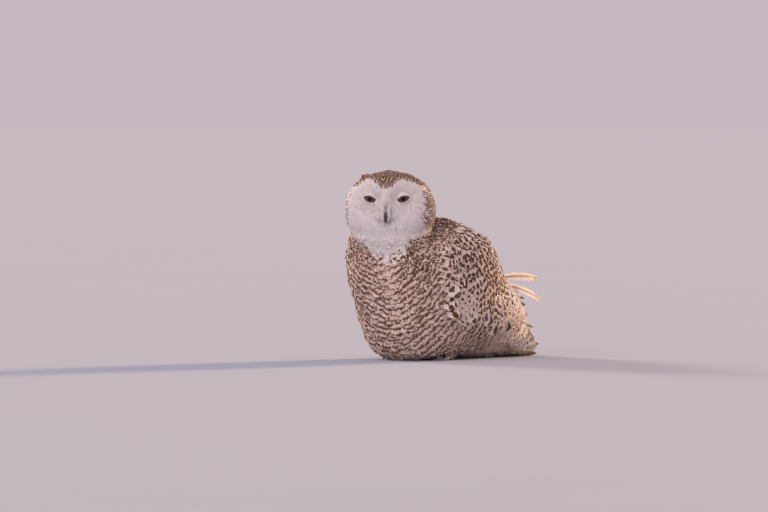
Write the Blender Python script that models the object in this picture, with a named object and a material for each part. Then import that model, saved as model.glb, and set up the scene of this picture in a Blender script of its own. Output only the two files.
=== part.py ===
"""Snowy owl sitting on the ground, life size, as a still model.

Metres, +Z up. The owl faces -Y with its left side at +X, and its head is turned to its left.
The body is modelled whole, as a loft of oval rings from the crown to the tail, and is parted
by thin cuts into head, neck and trunk. The folded wings lie round the same loft.
"""

import math

import bmesh
import bpy
import numpy as np
from mathutils import Matrix, Vector

GAP = 0.0003  # clearance between neighbouring pieces

# The body's rings: the front or belly point (y, z), the nape or back point (y, z), half-width,
# and how much fuller the belly's side of the ring is than the back's.
BODY = {
    "crown": (-0.088, 0.3535, -0.052, 0.3535, 0.016, 0.0),
    "forehead": (-0.117, 0.346, -0.024, 0.347, 0.042, 0.0),
    "brow": (-0.134, 0.329, -0.005, 0.331, 0.066, 0.0),
    "eyes": (-0.141, 0.307, 0.002, 0.309, 0.080, 0.0),
    "bill": (-0.143, 0.281, 0.003, 0.286, 0.085, 0.0),
    "cheek": (-0.140, 0.255, 0.008, 0.272, 0.082, 0.0),
    "throat": (-0.131, 0.232, 0.018, 0.268, 0.078, 0.0),
    "neck_base": (-0.124, 0.210, 0.036, 0.268, 0.087, 0.0),
    "shoulder": (-0.120, 0.182, 0.066, 0.267, 0.104, 0.0),
    "breast": (-0.112, 0.148, 0.103, 0.257, 0.114, 0.0),
    "keel": (-0.096, 0.097, 0.142, 0.235, 0.116, 0.01),
    "belly": (-0.074, 0.040, 0.180, 0.205, 0.111, 0.06),
    "vent": (-0.036, 0.003, 0.214, 0.172, 0.100, 0.18),
    "thigh": (0.070, 0.003, 0.243, 0.143, 0.091, 0.20),
    "rump": (0.160, 0.004, 0.270, 0.115, 0.079, 0.08),
    "tail_root": (0.224, 0.005, 0.296, 0.088, 0.064, 0.0),
    "tail_middle": (0.280, 0.004, 0.322, 0.061, 0.055, 0.0),
    "tail_end": (0.330, 0.003, 0.344, 0.038, 0.049, 0.0),
}
STATION = {name: index for index, name in enumerate(BODY)}
BODY_TABLE = np.array(list(BODY.values()))
RING_POINTS = 34
RINGS_PER_STATION = 2
SQUARENESS = 2.25  # superellipse power of every ring; 2 is an ellipse
HALVINGS = 24  # steps of the search for a point of the face

HEAD_AXIS_Y = -0.070  # the upright axis that the head turns about
HEAD_TURN = math.radians(30)
TURN_ENDS_AT = ("cheek", "shoulder")  # the neck takes up the turn between these

EYE_SPREAD = 0.0305  # each eye's centre from the middle of the face
EYE_Z = 0.305
EYE_RADIUS = 0.0145
EYE_SINK = 0.0100  # the ball's centre behind the face
DISC_DEPTH = 0.008  # the hollow round each eye, just below the eye's middle
DISC_RADIUS = 0.022
DISC_Z = 0.301
RIDGE_HEIGHT = 0.005  # the ridge between the eyes, down to the bill
RIDGE_HALF_WIDTH = 0.009
RIDGE_FADES = ((0.250, 0.275), (0.310, 0.335))  # heights between which it rises and ends

BILL_Z = 0.281
BILL_LENGTH = 0.034
BILL_HALF_WIDTH = 0.0062
BILL_TALLNESS = 1.35  # of each ring across the bill, against its width
BILL_SINK = 0.006  # its root behind the face
BILL_BENDS = (18, 84)  # degrees: how far it points down at its root, and how much more at its tip
BILL_RINGS = 9
BILL_POINTS = 12

WING_POINTS = 9  # across each face of a wing
WING_CLEARANCE = 0.0012  # between the body and the wing, whose facets differ
WING_START = 7.55  # in stations of the body, at the wrist
WING_SPLIT = 13.6  # where the primaries begin
WING_END = 17.0
WING_UPPER_EDGE = (  # station, degrees round the ring
    (7.5, 80), (8.2, 56), (9.5, 38), (11.5, 24), (14.0, 14), (16.2, 14), (17.0, 62),
)
WING_LOWER_EDGE = (
    (7.5, 94), (8.4, 112), (9.7, 118), (10.4, 119), (11.2, 115), (12.3, 110), (13.6, 118),
    (15.6, 132), (16.4, 134), (17.0, 96),
)
WING_THICK = 0.017
WING_EDGE = 0.0022
WING_TIP_THICK = 0.006
WRIST_SHARE = 0.30  # of the thickness at the wrist, and how soon the rest is reached
WRIST_GROWTH = 3.2
TIP_THINS_AT = 0.45  # the share of the wing's length where it starts to thin

TAIL_FEATHERS = 12
TAIL_ROOT = (0.215, 0.042)  # y, z
TAIL_TIP = (0.364, 0.014)
TAIL_ROOT_HALF = 0.024
TAIL_TIP_HALF = 0.042
TAIL_THICK = 0.010
TAIL_TIP_THICK = 0.004
TAIL_ARCH = 0.0015
TAIL_ROWS = 5
TAIL_SCALLOP = 0.020  # how far each feather's end stands out past the notches beside it
TAIL_ROUNDING = 0.11  # how much shorter the outer feathers are
TRUNK_END_STARTS = 14.0  # the station where the trunk begins to round off over the tail
TRUNK_END_STATIONS = (14.5, 15.0, 15.5, 16.0, 16.35, 16.6)
TRUNK_END_POWER = 3.2
TRUNK_END_SIZE = 0.08  # the last ring, as a share of the body's

LEG_CENTRE = (0.048, 0.056, 0.050)
LEG_HALF = (0.030, 0.044, 0.040)
ANKLE_Z = 0.0215  # the leg stands on the foot here, on a flat
FOOT_CENTRE = (0.046, 0.050, 0.012)
FOOT_HALF = (0.016, 0.020, 0.0125)
HOLLOW_CENTRE = (0.050, 0.042, 0.0)  # the room among the belly feathers for the toes
HOLLOW_HALF = (0.044, 0.062, 0.030)
TOE_HEIGHT = 0.0086
TOES = {  # heading from straight ahead, positive outwards, length, thickness at the root
    "inner": (-20, 0.034, 0.0108),
    "middle": (4, 0.038, 0.0112),
    "outer": (30, 0.032, 0.0108),
    "hind": (-165, 0.023, 0.0105),
}
TOE_RINGS = 6
TOE_POINTS = 8
TOE_SLOPE = (1.08, 0.74)  # the height of a toe's middle at its root and at its end
TOE_TAPER = 0.36
TOE_END_TAPER = 0.25
CLAW_RINGS = 7
CLAW_POINTS = 7
CLAW_LENGTH = 0.022
CLAW_RADIUS = 0.0036
CLAW_POINT = 0.0004
CLAW_SWEEP = math.radians(38)  # how far a claw bends down along its length

RAISED_FEATHERS = {  # the feathers that the wind lifts: station and angle of the root, tip
    "upper": (12.40, 30, (0.070, 0.316, 0.150)),
    "lower": (12.85, 33, (0.078, 0.318, 0.107)),
}
RAISED_ROLL = math.radians(55)  # how far the blades stand on edge
RAISED_HALF_WIDTH = 0.0085
RAISED_THICK = 0.0020
RAISED_RINGS = 11
RAISED_ARCH = 0.006
RAISED_WIDEST_AT = 0.6  # the share of the blade's length
RAISED_ROOT_WIDTH = 0.30


def clear_scene():
    for obj in list(bpy.data.objects):
        bpy.data.objects.remove(obj, do_unlink=True)


def material(name, colour, roughness, metallic=0.0):
    made = bpy.data.materials.new(name)
    made.use_nodes = True
    shader = made.node_tree.nodes["Principled BSDF"]
    shader.inputs["Base Color"].default_value = (*colour, 1.0)
    shader.inputs["Roughness"].default_value = roughness
    shader.inputs["Metallic"].default_value = metallic
    return made


def make_materials():
    return {
        "face": material("white_plumage", (0.86, 0.84, 0.82), 0.9),
        "barred": material("barred_plumage", (0.58, 0.50, 0.44), 0.9),
        "spotted": material("spotted_plumage", (0.70, 0.64, 0.58), 0.9),
        "horn": material("black_horn", (0.02, 0.02, 0.022), 0.3),
        "eye": material("yellow_eye", (0.62, 0.40, 0.03), 0.08),
    }


def new_object(name, mesh_data, finish):
    obj = bpy.data.objects.new(name, mesh_data)
    bpy.context.scene.collection.objects.link(obj)
    obj.data.materials.append(finish)
    return obj


def finish_mesh(name, bm, finish):
    """Closes the bmesh into an object with outward faces and smooth shading."""
    bmesh.ops.recalc_face_normals(bm, faces=bm.faces)
    mesh = bpy.data.meshes.new(name)
    bm.to_mesh(mesh)
    bm.free()
    mesh.shade_smooth()
    return new_object(name, mesh, finish)


def loft(name, rings, finish):
    """A closed skin over rings of equal point counts, with a flat cap at each end."""
    bm = bmesh.new()
    loops = [[bm.verts.new(point) for point in ring] for ring in rings]
    for lower, upper in zip(loops, loops[1:]):
        for i in range(len(lower)):
            j = (i + 1) % len(lower)
            bm.faces.new((lower[i], lower[j], upper[j], upper[i]))
    bm.faces.new(loops[0])
    bm.faces.new(loops[-1])
    return finish_mesh(name, bm, finish)


def smooth_value(table, at):
    """Reads a table of rows at a fractional row number, on a Catmull-Rom curve."""
    last = len(table) - 1
    row = min(int(math.floor(at)), last - 1)
    f = at - row
    before, here = table[max(row - 1, 0)], table[row]
    there, after = table[row + 1], table[min(row + 2, last)]
    slope_here, slope_there = (there - before) / 2, (after - here) / 2
    return (
        (2 * f**3 - 3 * f**2 + 1) * here
        + (f**3 - 2 * f**2 + f) * slope_here
        + (3 * f**2 - 2 * f**3) * there
        + (f**3 - f**2) * slope_there
    )


def smoothstep(low, high, x):
    f = min(max((x - low) / (high - low), 0.0), 1.0)
    return f * f * (3 - 2 * f)


def turned(point, station):
    """Turns a point of the head or neck about the head's upright axis."""
    start, end = (STATION[name] for name in TURN_ENDS_AT)
    angle = HEAD_TURN * (1 - smoothstep(start, end, station))
    pivot = Vector((0, HEAD_AXIS_Y, 0))
    return Matrix.Rotation(angle, 3, "Z") @ (point - pivot) + pivot


def face_relief(point):
    """Hollows the facial disc round each eye and raises the ridge between them."""
    if point.y > HEAD_AXIS_Y:
        return point
    side = abs(point.x) - EYE_SPREAD
    rise = point.z - DISC_Z
    dish = math.exp(-(side**2 + rise**2) / (2 * DISC_RADIUS**2))
    (foot, full), (fading, gone) = RIDGE_FADES
    ridge = math.exp(-((point.x / RIDGE_HALF_WIDTH) ** 2) / 2)
    ridge *= smoothstep(foot, full, point.z) * (1 - smoothstep(fading, gone, point.z))
    return point + Vector((0, DISC_DEPTH * dish - RIDGE_HEIGHT * ridge, 0))


def body_point(station, angle, lift=0.0):
    """A point of the body's ring at a station. Angle 0 is the back, a half turn is the front
    or belly, and the owl's left lies between. Lift moves it off the surface."""
    front_y, front_z, back_y, back_z, half_width, fuller = smooth_value(BODY_TABLE, station)
    front, back = Vector((0, front_y, front_z)), Vector((0, back_y, back_z))
    middle, depth = (front + back) / 2, (back - front) / 2
    along, aside = math.cos(angle), math.sin(angle)
    power = 2 / SQUARENESS
    bent_along = math.copysign(abs(along) ** power, along)
    bent_aside = math.copysign(abs(aside) ** power, aside) * (1 - fuller * along)
    point = middle + depth * bent_along + Vector((half_width * bent_aside, 0, 0))
    outward = depth.normalized() * along / depth.length + Vector((aside / half_width, 0, 0))
    return point + outward.normalized() * lift


def body_ring(station, shift=0.0):
    """One whole ring of the body. Shift moves it along the body, for the thin cuts."""
    front_y, front_z, back_y, back_z, *_ = smooth_value(BODY_TABLE, station)
    across = Vector((0, back_y - front_y, back_z - front_z)).normalized()
    onward = Vector((0, across.z, -across.y))
    ring = []
    for i in range(RING_POINTS):
        point = body_point(station, math.tau * i / RING_POINTS)
        if station < STATION["throat"]:
            point = face_relief(point)
        ring.append(turned(point + onward * shift, station))
    return ring


def body_rings(start, end):
    """Rings from one named station to another, each end drawn in by half a gap."""
    first, last = STATION[start], STATION[end]
    count = (last - first) * RINGS_PER_STATION
    stations = [first + i / RINGS_PER_STATION for i in range(count + 1)]
    shifts = [GAP / 2] + [0.0] * (count - 1) + [-GAP / 2]
    return [body_ring(s, shift) for s, shift in zip(stations, shifts)]


def trunk_end_rings():
    """Rings that draw in towards the tail's root, so the trunk ends round."""
    length = TRUNK_END_STATIONS[-1] - TRUNK_END_STARTS
    rings = []
    for station in TRUNK_END_STATIONS:
        ring = body_ring(station)
        share = (station - TRUNK_END_STARTS) / length
        middle = sum(ring, Vector()) / len(ring)
        rounding = max(1 - share**TRUNK_END_POWER, 0.0) ** 0.5
        size = TRUNK_END_SIZE + (1 - TRUNK_END_SIZE) * rounding
        rings.append([middle.lerp(point, size) for point in ring])
    return rings


def make_body(finishes):
    """The head, the neck and the trunk, parted by thin cuts."""
    head = loft("head", body_rings("crown", "cheek"), finishes["face"])
    neck = loft("neck", body_rings("cheek", "neck_base"), finishes["barred"])
    rings = body_rings("neck_base", "rump")[:-1] + [body_ring(STATION["rump"])]
    rings += trunk_end_rings()
    trunk = loft("trunk", rings, finishes["barred"])
    return head, neck, trunk


def subtract(target, cutter):
    """Cuts the cutter out of the target for good and removes the cutter."""
    cut = target.modifiers.new("cut", "BOOLEAN")
    cut.operation = "DIFFERENCE"
    cut.object = cutter
    apply_modifiers(target)
    bpy.data.objects.remove(cutter, do_unlink=True)


def unite(target, others):
    for other in others:
        join = target.modifiers.new("join", "BOOLEAN")
        join.operation = "UNION"
        join.object = other
    apply_modifiers(target)
    for other in others:
        bpy.data.objects.remove(other, do_unlink=True)


def apply_modifiers(obj):
    bpy.context.view_layer.update()
    graph = bpy.context.evaluated_depsgraph_get()
    mesh = bpy.data.meshes.new_from_object(obj.evaluated_get(graph))
    obj.modifiers.clear()
    obj.data = mesh
    mesh.shade_smooth()


def cut_flat(obj, height=0.0, keep=1):
    """Cuts a piece along a level plane and keeps what is above it, or below for keep -1."""
    bm = bmesh.new()
    bm.from_mesh(obj.data)
    everything = bm.verts[:] + bm.edges[:] + bm.faces[:]
    cut = bmesh.ops.bisect_plane(
        bm, geom=everything, plane_co=(0, 0, height), plane_no=(0, 0, keep), clear_inner=True
    )
    edges = [e for e in cut["geom_cut"] if isinstance(e, bmesh.types.BMEdge)]
    if edges:
        bmesh.ops.edgenet_fill(bm, edges=edges)
    bmesh.ops.recalc_face_normals(bm, faces=bm.faces)
    bm.to_mesh(obj.data)
    bm.free()


def ball(name, centre, radii, finish, segments=20, rings=12):
    bm = bmesh.new()
    bmesh.ops.create_uvsphere(bm, u_segments=segments, v_segments=rings, radius=1.0)
    bmesh.ops.scale(bm, vec=radii, verts=bm.verts)
    bmesh.ops.translate(bm, vec=centre, verts=bm.verts)
    return finish_mesh(name, bm, finish)


def halving(low, high, too_low):
    """The value between two bounds where a test stops being true, by halving."""
    for _ in range(HALVINGS):
        middle = (low + high) / 2
        if too_low(middle):
            low = middle
        else:
            high = middle
    return (low + high) / 2


def face_point(x, z):
    """The point on the front of the face at a width and a height, before the head turns."""

    def at_width(station):
        angle = halving(math.pi / 2, math.pi, lambda a: body_point(station, a).x > abs(x))
        return body_point(station, angle)

    forehead, cheek = STATION["forehead"], STATION["cheek"]
    point = at_width(halving(forehead, cheek, lambda s: at_width(s).z > z))
    return face_relief(Vector((math.copysign(point.x, x), point.y, point.z)))


def make_eyes(head, finishes):
    for side, sign in (("left", 1), ("right", -1)):
        surface = face_point(sign * EYE_SPREAD, EYE_Z)
        centre = turned(surface + Vector((0, EYE_SINK, 0)), STATION["eyes"])
        radii = (EYE_RADIUS,) * 3
        socket_radii = (EYE_RADIUS + GAP,) * 3
        ball(f"eye_{side}", centre, radii, finishes["eye"], 14, 8)
        socket = ball("socket", centre, socket_radii, finishes["face"], 14, 8)
        subtract(head, socket)


def bill_ring(share, half_width, grow):
    """A ring across the bill at a share of its length, on the arc of the culmen."""
    start, more = BILL_BENDS
    bend = math.radians(start + more * share)
    forward = BILL_LENGTH * 0.52 * share * (1 - 0.35 * share)
    down = BILL_LENGTH * 0.80 * share**1.35
    centre = face_point(0, BILL_Z) + Vector((0, BILL_SINK - forward, -down))
    narrow = 0.07 + 0.93 * (1 - share**2.2) ** 0.62
    wide, tall = half_width * narrow + grow, BILL_TALLNESS * half_width * narrow + grow
    up = Vector((0, -math.sin(bend), math.cos(bend)))
    ring = []
    for i in range(BILL_POINTS):
        angle = math.tau * i / BILL_POINTS
        offset = Vector((wide * math.sin(angle), 0, 0)) + up * tall * math.cos(angle)
        ring.append(turned(centre + offset, STATION["bill"]))
    return ring


def make_bill(head, finishes):
    shares = [i / (BILL_RINGS - 1) for i in range(BILL_RINGS)]
    rings = [bill_ring(s, BILL_HALF_WIDTH, 0.0) for s in shares]
    loft("bill", rings, finishes["horn"])
    grown = [bill_ring(s, BILL_HALF_WIDTH, GAP) for s in shares]
    backwards = Matrix.Rotation(HEAD_TURN, 3, "Z") @ Vector((0, GAP, 0))
    root = [point + backwards for point in grown[0]]
    socket = loft("bill_socket", [root] + grown, finishes["face"])
    subtract(head, socket)


def wing_edges(station):
    """The angles of the wing's upper and lower edges round the body's ring, in radians."""
    return [
        math.radians(float(np.interp(station, [s for s, _ in edge], [a for _, a in edge])))
        for edge in (WING_UPPER_EDGE, WING_LOWER_EDGE)
    ]


def wing_ring(station, side, grow=0.0):
    """A crescent across the wing: its outer face from edge to edge, then its inner face."""
    upper, lower = wing_edges(station)
    reach = (station - WING_START) / (WING_END - WING_START)
    thick = WING_THICK * min(1.0, WRIST_SHARE + WRIST_GROWTH * reach)
    thick += (WING_TIP_THICK - WING_THICK) * smoothstep(TIP_THINS_AT, 1.0, reach)
    outer, inner = [], []
    for i in range(WING_POINTS):
        across = -1 + 2 * i / (WING_POINTS - 1)
        angle = (upper + lower) / 2 + (lower - upper) / 2 * across
        crown = WING_EDGE + (thick - WING_EDGE) * (1 - across**4) ** 0.7
        outer.append(body_point(station, side * angle, crown + grow))
        inner.append(body_point(station, side * angle, WING_CLEARANCE))
    return [turned(point, station) for point in outer + inner[::-1]]


def wing_stations(start, end):
    """The places of the wing's rings between two stations. They fall on the trunk's rings, so
    that the wing's inner face runs along the trunk's facets."""
    step = 1 / RINGS_PER_STATION
    inside = [i * step for i in range(int(WING_END / step) + 1)]
    return [start] + [s for s in inside if start + 0.05 < s < end - 0.05] + [end]


def make_wing(side_name, side, finishes):
    """The folded wing in two pieces: coverts and secondaries, then the primaries."""
    front = wing_stations(WING_START, WING_SPLIT - 0.006)
    rear = wing_stations(WING_SPLIT + 0.006, WING_END)
    loft(f"wing_{side_name}", [wing_ring(s, side) for s in front], finishes["spotted"])
    loft(f"primaries_{side_name}", [wing_ring(s, side) for s in rear], finishes["spotted"])


def tail_shape(name, grow, finish):
    """A shallow roof of feathers whose end is scalloped by the feather tips."""
    columns, rows = TAIL_FEATHERS * 2, TAIL_ROWS
    root, tip = Vector((0, *TAIL_ROOT)), Vector((0, *TAIL_TIP))
    bm = bmesh.new()
    sheets = []
    for face in (1, -1):
        grid = []
        for r in range(rows + 1):
            share = r / rows
            row = []
            for c in range(columns + 1):
                across = -1 + 2 * c / columns
                scallop = TAIL_SCALLOP if r == rows and c % 2 else 0.0
                rounding = TAIL_ROUNDING * across**2 * share
                reach = share * (1 - rounding) + scallop
                thick = TAIL_THICK + (TAIL_TIP_THICK - TAIL_THICK) * share + 2 * grow
                thin = max(1 - across**6, 0.25)
                arch = -TAIL_ARCH * across**2 * (1 + share)
                point = root.lerp(tip, reach) - Vector((0, grow if r == 0 else 0, 0))
                half = TAIL_ROOT_HALF + (TAIL_TIP_HALF - TAIL_ROOT_HALF) * share + grow
                point += Vector((half * across, 0, arch))
                row.append(bm.verts.new(point + Vector((0, 0, face * thick / 2 * thin))))
            grid.append(row)
        sheets.append(grid)
    for grid in sheets:
        for r in range(rows):
            for c in range(columns):
                bm.faces.new((grid[r][c], grid[r][c + 1], grid[r + 1][c + 1], grid[r + 1][c]))
    top, bottom = sheets
    border = [(0, c) for c in range(columns)] + [(r, columns) for r in range(rows)]
    border += [(rows, c) for c in range(columns, 0, -1)] + [(r, 0) for r in range(rows, 0, -1)]
    for (r0, c0), (r1, c1) in zip(border, border[1:] + border[:1]):
        bm.faces.new((top[r0][c0], top[r1][c1], bottom[r1][c1], bottom[r0][c0]))
    return finish_mesh(name, bm, finish)


def make_tail(trunk, finishes):
    """The tail goes into a slot of the trunk."""
    tail_shape("tail", 0.0, finishes["spotted"])
    subtract(trunk, tail_shape("tail_slot", GAP, finishes["spotted"]))


def toe_rings(start, heading, length, thick):
    """A feathered toe: a tube that swells at its root and ends flat where the claw begins."""
    forward = Vector((math.sin(heading), -math.cos(heading), 0))
    aside = Vector((math.cos(heading), math.sin(heading), 0))
    root_height, end_height = TOE_SLOPE
    rings = []
    for i in range(TOE_RINGS):
        share = i / (TOE_RINGS - 1)
        swell = (1 - TOE_TAPER * share) * (0.55 + 0.45 * min(1.0, 3 * share))
        swell *= 1 - TOE_END_TAPER * smoothstep(0.8, 1.0, share)
        centre = start + forward * length * share
        centre.z = TOE_HEIGHT * (root_height + (end_height - root_height) * share)
        ring = []
        for j in range(TOE_POINTS):
            angle = math.tau * j / TOE_POINTS
            offset = aside * math.cos(angle) + Vector((0, 0, 1)) * math.sin(angle)
            ring.append(centre + offset * thick * swell)
        rings.append(ring)
    return rings


def claw_rings(start, heading):
    """A claw: a cone bent down in an arc, its point just over the floor."""
    forward = Vector((math.sin(heading), -math.cos(heading), 0))
    aside = Vector((math.cos(heading), math.sin(heading), 0))
    bend_radius = CLAW_LENGTH / CLAW_SWEEP
    rings = []
    for i in range(CLAW_RINGS):
        share = i / (CLAW_RINGS - 1)
        angle = CLAW_SWEEP * share
        along = bend_radius * math.sin(angle)
        drop = bend_radius * (math.cos(angle) - 1)
        radius = CLAW_RADIUS * (1 - share) ** 0.75 + CLAW_POINT
        centre = start + forward * along + Vector((0, 0, drop))
        up = forward * math.sin(angle) + Vector((0, 0, math.cos(angle)))
        ring = []
        for j in range(CLAW_POINTS):
            turn = math.tau * j / CLAW_POINTS
            ring.append(centre + (aside * math.cos(turn) + up * math.sin(turn)) * radius)
        rings.append(ring)
    return rings


def make_foot(side_name, side, finishes):
    """A feathered pad with three toes ahead and one behind, each with its own claw."""
    middle = Vector((side * FOOT_CENTRE[0], FOOT_CENTRE[1], FOOT_CENTRE[2]))
    foot = ball(f"foot_{side_name}", middle, FOOT_HALF, finishes["face"], 14, 9)
    toes = []
    for toe, (degrees, length, thick) in TOES.items():
        heading = math.radians(side * degrees)
        rings = toe_rings(middle, heading, length, thick)
        toes.append(loft(f"toe_{toe}", rings, finishes["face"]))
        forward = Vector((math.sin(heading), -math.cos(heading), 0))
        start = middle + forward * (length + GAP)
        start.z = TOE_HEIGHT * TOE_SLOPE[1]
        claw = loft(f"claw_{side_name}_{toe}", claw_rings(start, heading), finishes["horn"])
        cut_flat(claw)
    unite(foot, toes)
    cut_flat(foot)
    cut_flat(foot, ANKLE_Z - GAP, -1)


def make_leg(side_name, side, trunk, finishes):
    """The feathered leg stands on its foot, up inside the trunk's belly feathers."""
    make_foot(side_name, side, finishes)
    centre = (side * LEG_CENTRE[0], LEG_CENTRE[1], LEG_CENTRE[2])
    leg = ball(f"leg_{side_name}", centre, LEG_HALF, finishes["face"], 18, 12)
    cut_flat(leg, ANKLE_Z)
    room = tuple(half + GAP for half in LEG_HALF)
    subtract(trunk, ball("leg_room", centre, room, finishes["face"], 18, 12))
    hollow = (side * HOLLOW_CENTRE[0], HOLLOW_CENTRE[1], HOLLOW_CENTRE[2])
    subtract(trunk, ball("toe_room", hollow, HOLLOW_HALF, finishes["face"], 20, 12))


def raised_feather(name, root, tip, finishes):
    """A narrow blade with a round end, a little arched along its length."""
    along = (tip - root).normalized()
    aside = along.cross(Vector((0, 0, 1))).normalized()
    aside.rotate(Matrix.Rotation(RAISED_ROLL, 3, along))
    up = aside.cross(along)
    rings = []
    for i in range(RAISED_RINGS):
        share = i / (RAISED_RINGS - 1)
        past = max(share - RAISED_WIDEST_AT, 0.0) / (1.02 - RAISED_WIDEST_AT)
        opening = smoothstep(0.0, RAISED_WIDEST_AT, share)
        wide = RAISED_HALF_WIDTH * (RAISED_ROOT_WIDTH + (1 - RAISED_ROOT_WIDTH) * opening)
        wide *= (1 - past**2) ** 0.5
        centre = root.lerp(tip, share) + up * RAISED_ARCH * math.sin(math.pi * share)
        corners = [(-wide, 0), (0, RAISED_THICK / 2), (wide, 0), (0, -RAISED_THICK / 2)]
        rings.append([centre + aside * across + up * high for across, high in corners])
    return loft(name, rings, finishes["spotted"])


def make_raised_feathers(finishes):
    """Two feathers of the left wing stand off it; each is cut back to the wing's face."""
    for name, (station, degrees, tip) in RAISED_FEATHERS.items():
        root = body_point(station, math.radians(degrees), WING_THICK * 0.6)
        feather = raised_feather(f"raised_feather_{name}", root, Vector(tip), finishes)
        rings = [wing_ring(s, 1, GAP) for s in wing_stations(WING_START, WING_END)]
        subtract(feather, loft("wing_face", rings, finishes["spotted"]))


def centre_on_floor():
    """Moves the owl so that the origin is at the bottom centre of its box."""
    bpy.context.view_layer.update()
    parts = [o for o in bpy.data.objects if o.type == "MESH"]
    corners = np.array([v.co for part in parts for v in part.data.vertices])
    low, high = corners.min(axis=0), corners.max(axis=0)
    shift = Matrix.Translation((-(low[0] + high[0]) / 2, -(low[1] + high[1]) / 2, -low[2]))
    for part in parts:
        part.data.transform(shift)


def main():
    clear_scene()
    finishes = make_materials()
    head, neck, trunk = make_body(finishes)
    make_eyes(head, finishes)
    make_bill(head, finishes)
    make_tail(trunk, finishes)
    for side_name, side in (("left", 1), ("right", -1)):
        make_wing(side_name, side, finishes)
        make_leg(side_name, side, trunk, finishes)
    make_raised_feathers(finishes)
    centre_on_floor()


main()
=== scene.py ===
# A snowy owl sitting on the ground: its skin, feathers, eyes, bill, claws and the studio.
#
# Metres, +Z up. The owl faces -Y with its left side at +X, and its head is turned to its left.
# A place on the coat is a station, counted along the body from the crown to the tail, and an
# angle round it: 0 is the back, a half turn the breast, and the owl's left lies between.

import functools
import itertools
import math

import bmesh
import bpy
import numpy as np
from mathutils import Matrix, Vector
from mathutils.kdtree import KDTree


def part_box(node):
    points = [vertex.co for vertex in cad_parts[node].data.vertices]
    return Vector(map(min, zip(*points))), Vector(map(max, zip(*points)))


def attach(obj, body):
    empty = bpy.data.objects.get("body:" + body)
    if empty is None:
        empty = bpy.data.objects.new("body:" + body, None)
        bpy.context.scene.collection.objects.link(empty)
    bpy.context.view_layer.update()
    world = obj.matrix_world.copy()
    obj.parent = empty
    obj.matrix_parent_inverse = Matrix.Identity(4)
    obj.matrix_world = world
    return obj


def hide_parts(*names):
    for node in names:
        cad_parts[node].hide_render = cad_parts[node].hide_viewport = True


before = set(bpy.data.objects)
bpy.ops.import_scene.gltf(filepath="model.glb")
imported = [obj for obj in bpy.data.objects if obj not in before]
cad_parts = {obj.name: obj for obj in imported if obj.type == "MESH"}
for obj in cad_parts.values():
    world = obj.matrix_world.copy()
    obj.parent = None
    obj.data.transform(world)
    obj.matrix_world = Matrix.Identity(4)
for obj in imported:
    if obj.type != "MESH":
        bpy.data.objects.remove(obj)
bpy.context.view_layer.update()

TAU = math.tau

# ---- The owl's form, as in the solids, before its box is centred on the floor ----

LEG_CENTRE_Y = 0.056
leg_low, leg_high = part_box("leg_left")
SHIFT = np.array([0.0, (leg_low.y + leg_high.y) / 2 - LEG_CENTRE_Y, 0.0])

# The body's rings: the front or belly point (y, z), the nape or back point (y, z), half-width,
# and how much fuller the belly's side of the ring is than the back's.
BODY = {
    "crown": (-0.088, 0.3535, -0.052, 0.3535, 0.016, 0.0),
    "forehead": (-0.117, 0.346, -0.024, 0.347, 0.042, 0.0),
    "brow": (-0.134, 0.329, -0.005, 0.331, 0.066, 0.0),
    "eyes": (-0.141, 0.307, 0.002, 0.309, 0.080, 0.0),
    "bill": (-0.143, 0.281, 0.003, 0.286, 0.085, 0.0),
    "cheek": (-0.140, 0.255, 0.008, 0.272, 0.082, 0.0),
    "throat": (-0.131, 0.232, 0.018, 0.268, 0.078, 0.0),
    "neck_base": (-0.124, 0.210, 0.036, 0.268, 0.087, 0.0),
    "shoulder": (-0.120, 0.182, 0.066, 0.267, 0.104, 0.0),
    "breast": (-0.112, 0.148, 0.103, 0.257, 0.114, 0.0),
    "keel": (-0.096, 0.097, 0.142, 0.235, 0.116, 0.01),
    "belly": (-0.074, 0.040, 0.180, 0.205, 0.111, 0.06),
    "vent": (-0.036, 0.003, 0.214, 0.172, 0.100, 0.18),
    "thigh": (0.070, 0.003, 0.243, 0.143, 0.091, 0.20),
    "rump": (0.160, 0.004, 0.270, 0.115, 0.079, 0.08),
    "tail_root": (0.224, 0.005, 0.296, 0.088, 0.064, 0.0),
    "tail_middle": (0.280, 0.004, 0.322, 0.061, 0.055, 0.0),
    "tail_end": (0.330, 0.003, 0.344, 0.038, 0.049, 0.0),
}
BODY_TABLE = np.array(list(BODY.values()))
STATION = {name: index for index, name in enumerate(BODY)}
SQUARENESS = 2.25
CROWN_CAP = -1.0  # the stations before the crown's ring draw in to its middle
CAP_RISE = 0.003

HEAD_AXIS_Y = -0.070
HEAD_TURN = math.radians(30)
HEAD_COSINE, HEAD_SINE = math.cos(HEAD_TURN), math.sin(HEAD_TURN)
TURN_ENDS_AT = (5.0, 8.0)

EYE_SPREAD = 0.0305
EYE_Z = 0.305
DISC_DEPTH = 0.008
DISC_RADIUS = 0.022
DISC_Z = 0.301
RIDGE_HEIGHT = 0.005
RIDGE_HALF_WIDTH = 0.009
RIDGE_FOOT, RIDGE_TOP = (0.250, 0.275), (0.310, 0.335)
BILL_Z = 0.281

WING_START = 7.55
WING_END = 17.0
WING_UPPER_EDGE = (
    (7.5, 80), (8.2, 56), (9.5, 38), (11.5, 24), (14.0, 14), (16.2, 14), (17.0, 62),
)
WING_LOWER_EDGE = (
    (7.5, 94), (8.4, 112), (9.7, 118), (10.4, 119), (11.2, 115), (12.3, 110), (13.6, 118),
    (15.6, 132), (16.4, 134), (17.0, 96),
)
WING_THICK = 0.017
WING_EDGE = 0.0022
WING_TIP_THICK = 0.006

TAIL_ROOT = (0.215, 0.042)
TAIL_TIP = (0.364, 0.014)
TAIL_ROOT_HALF = 0.024
TAIL_TIP_HALF = 0.042
TAIL_FEATHERS = 12

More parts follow.
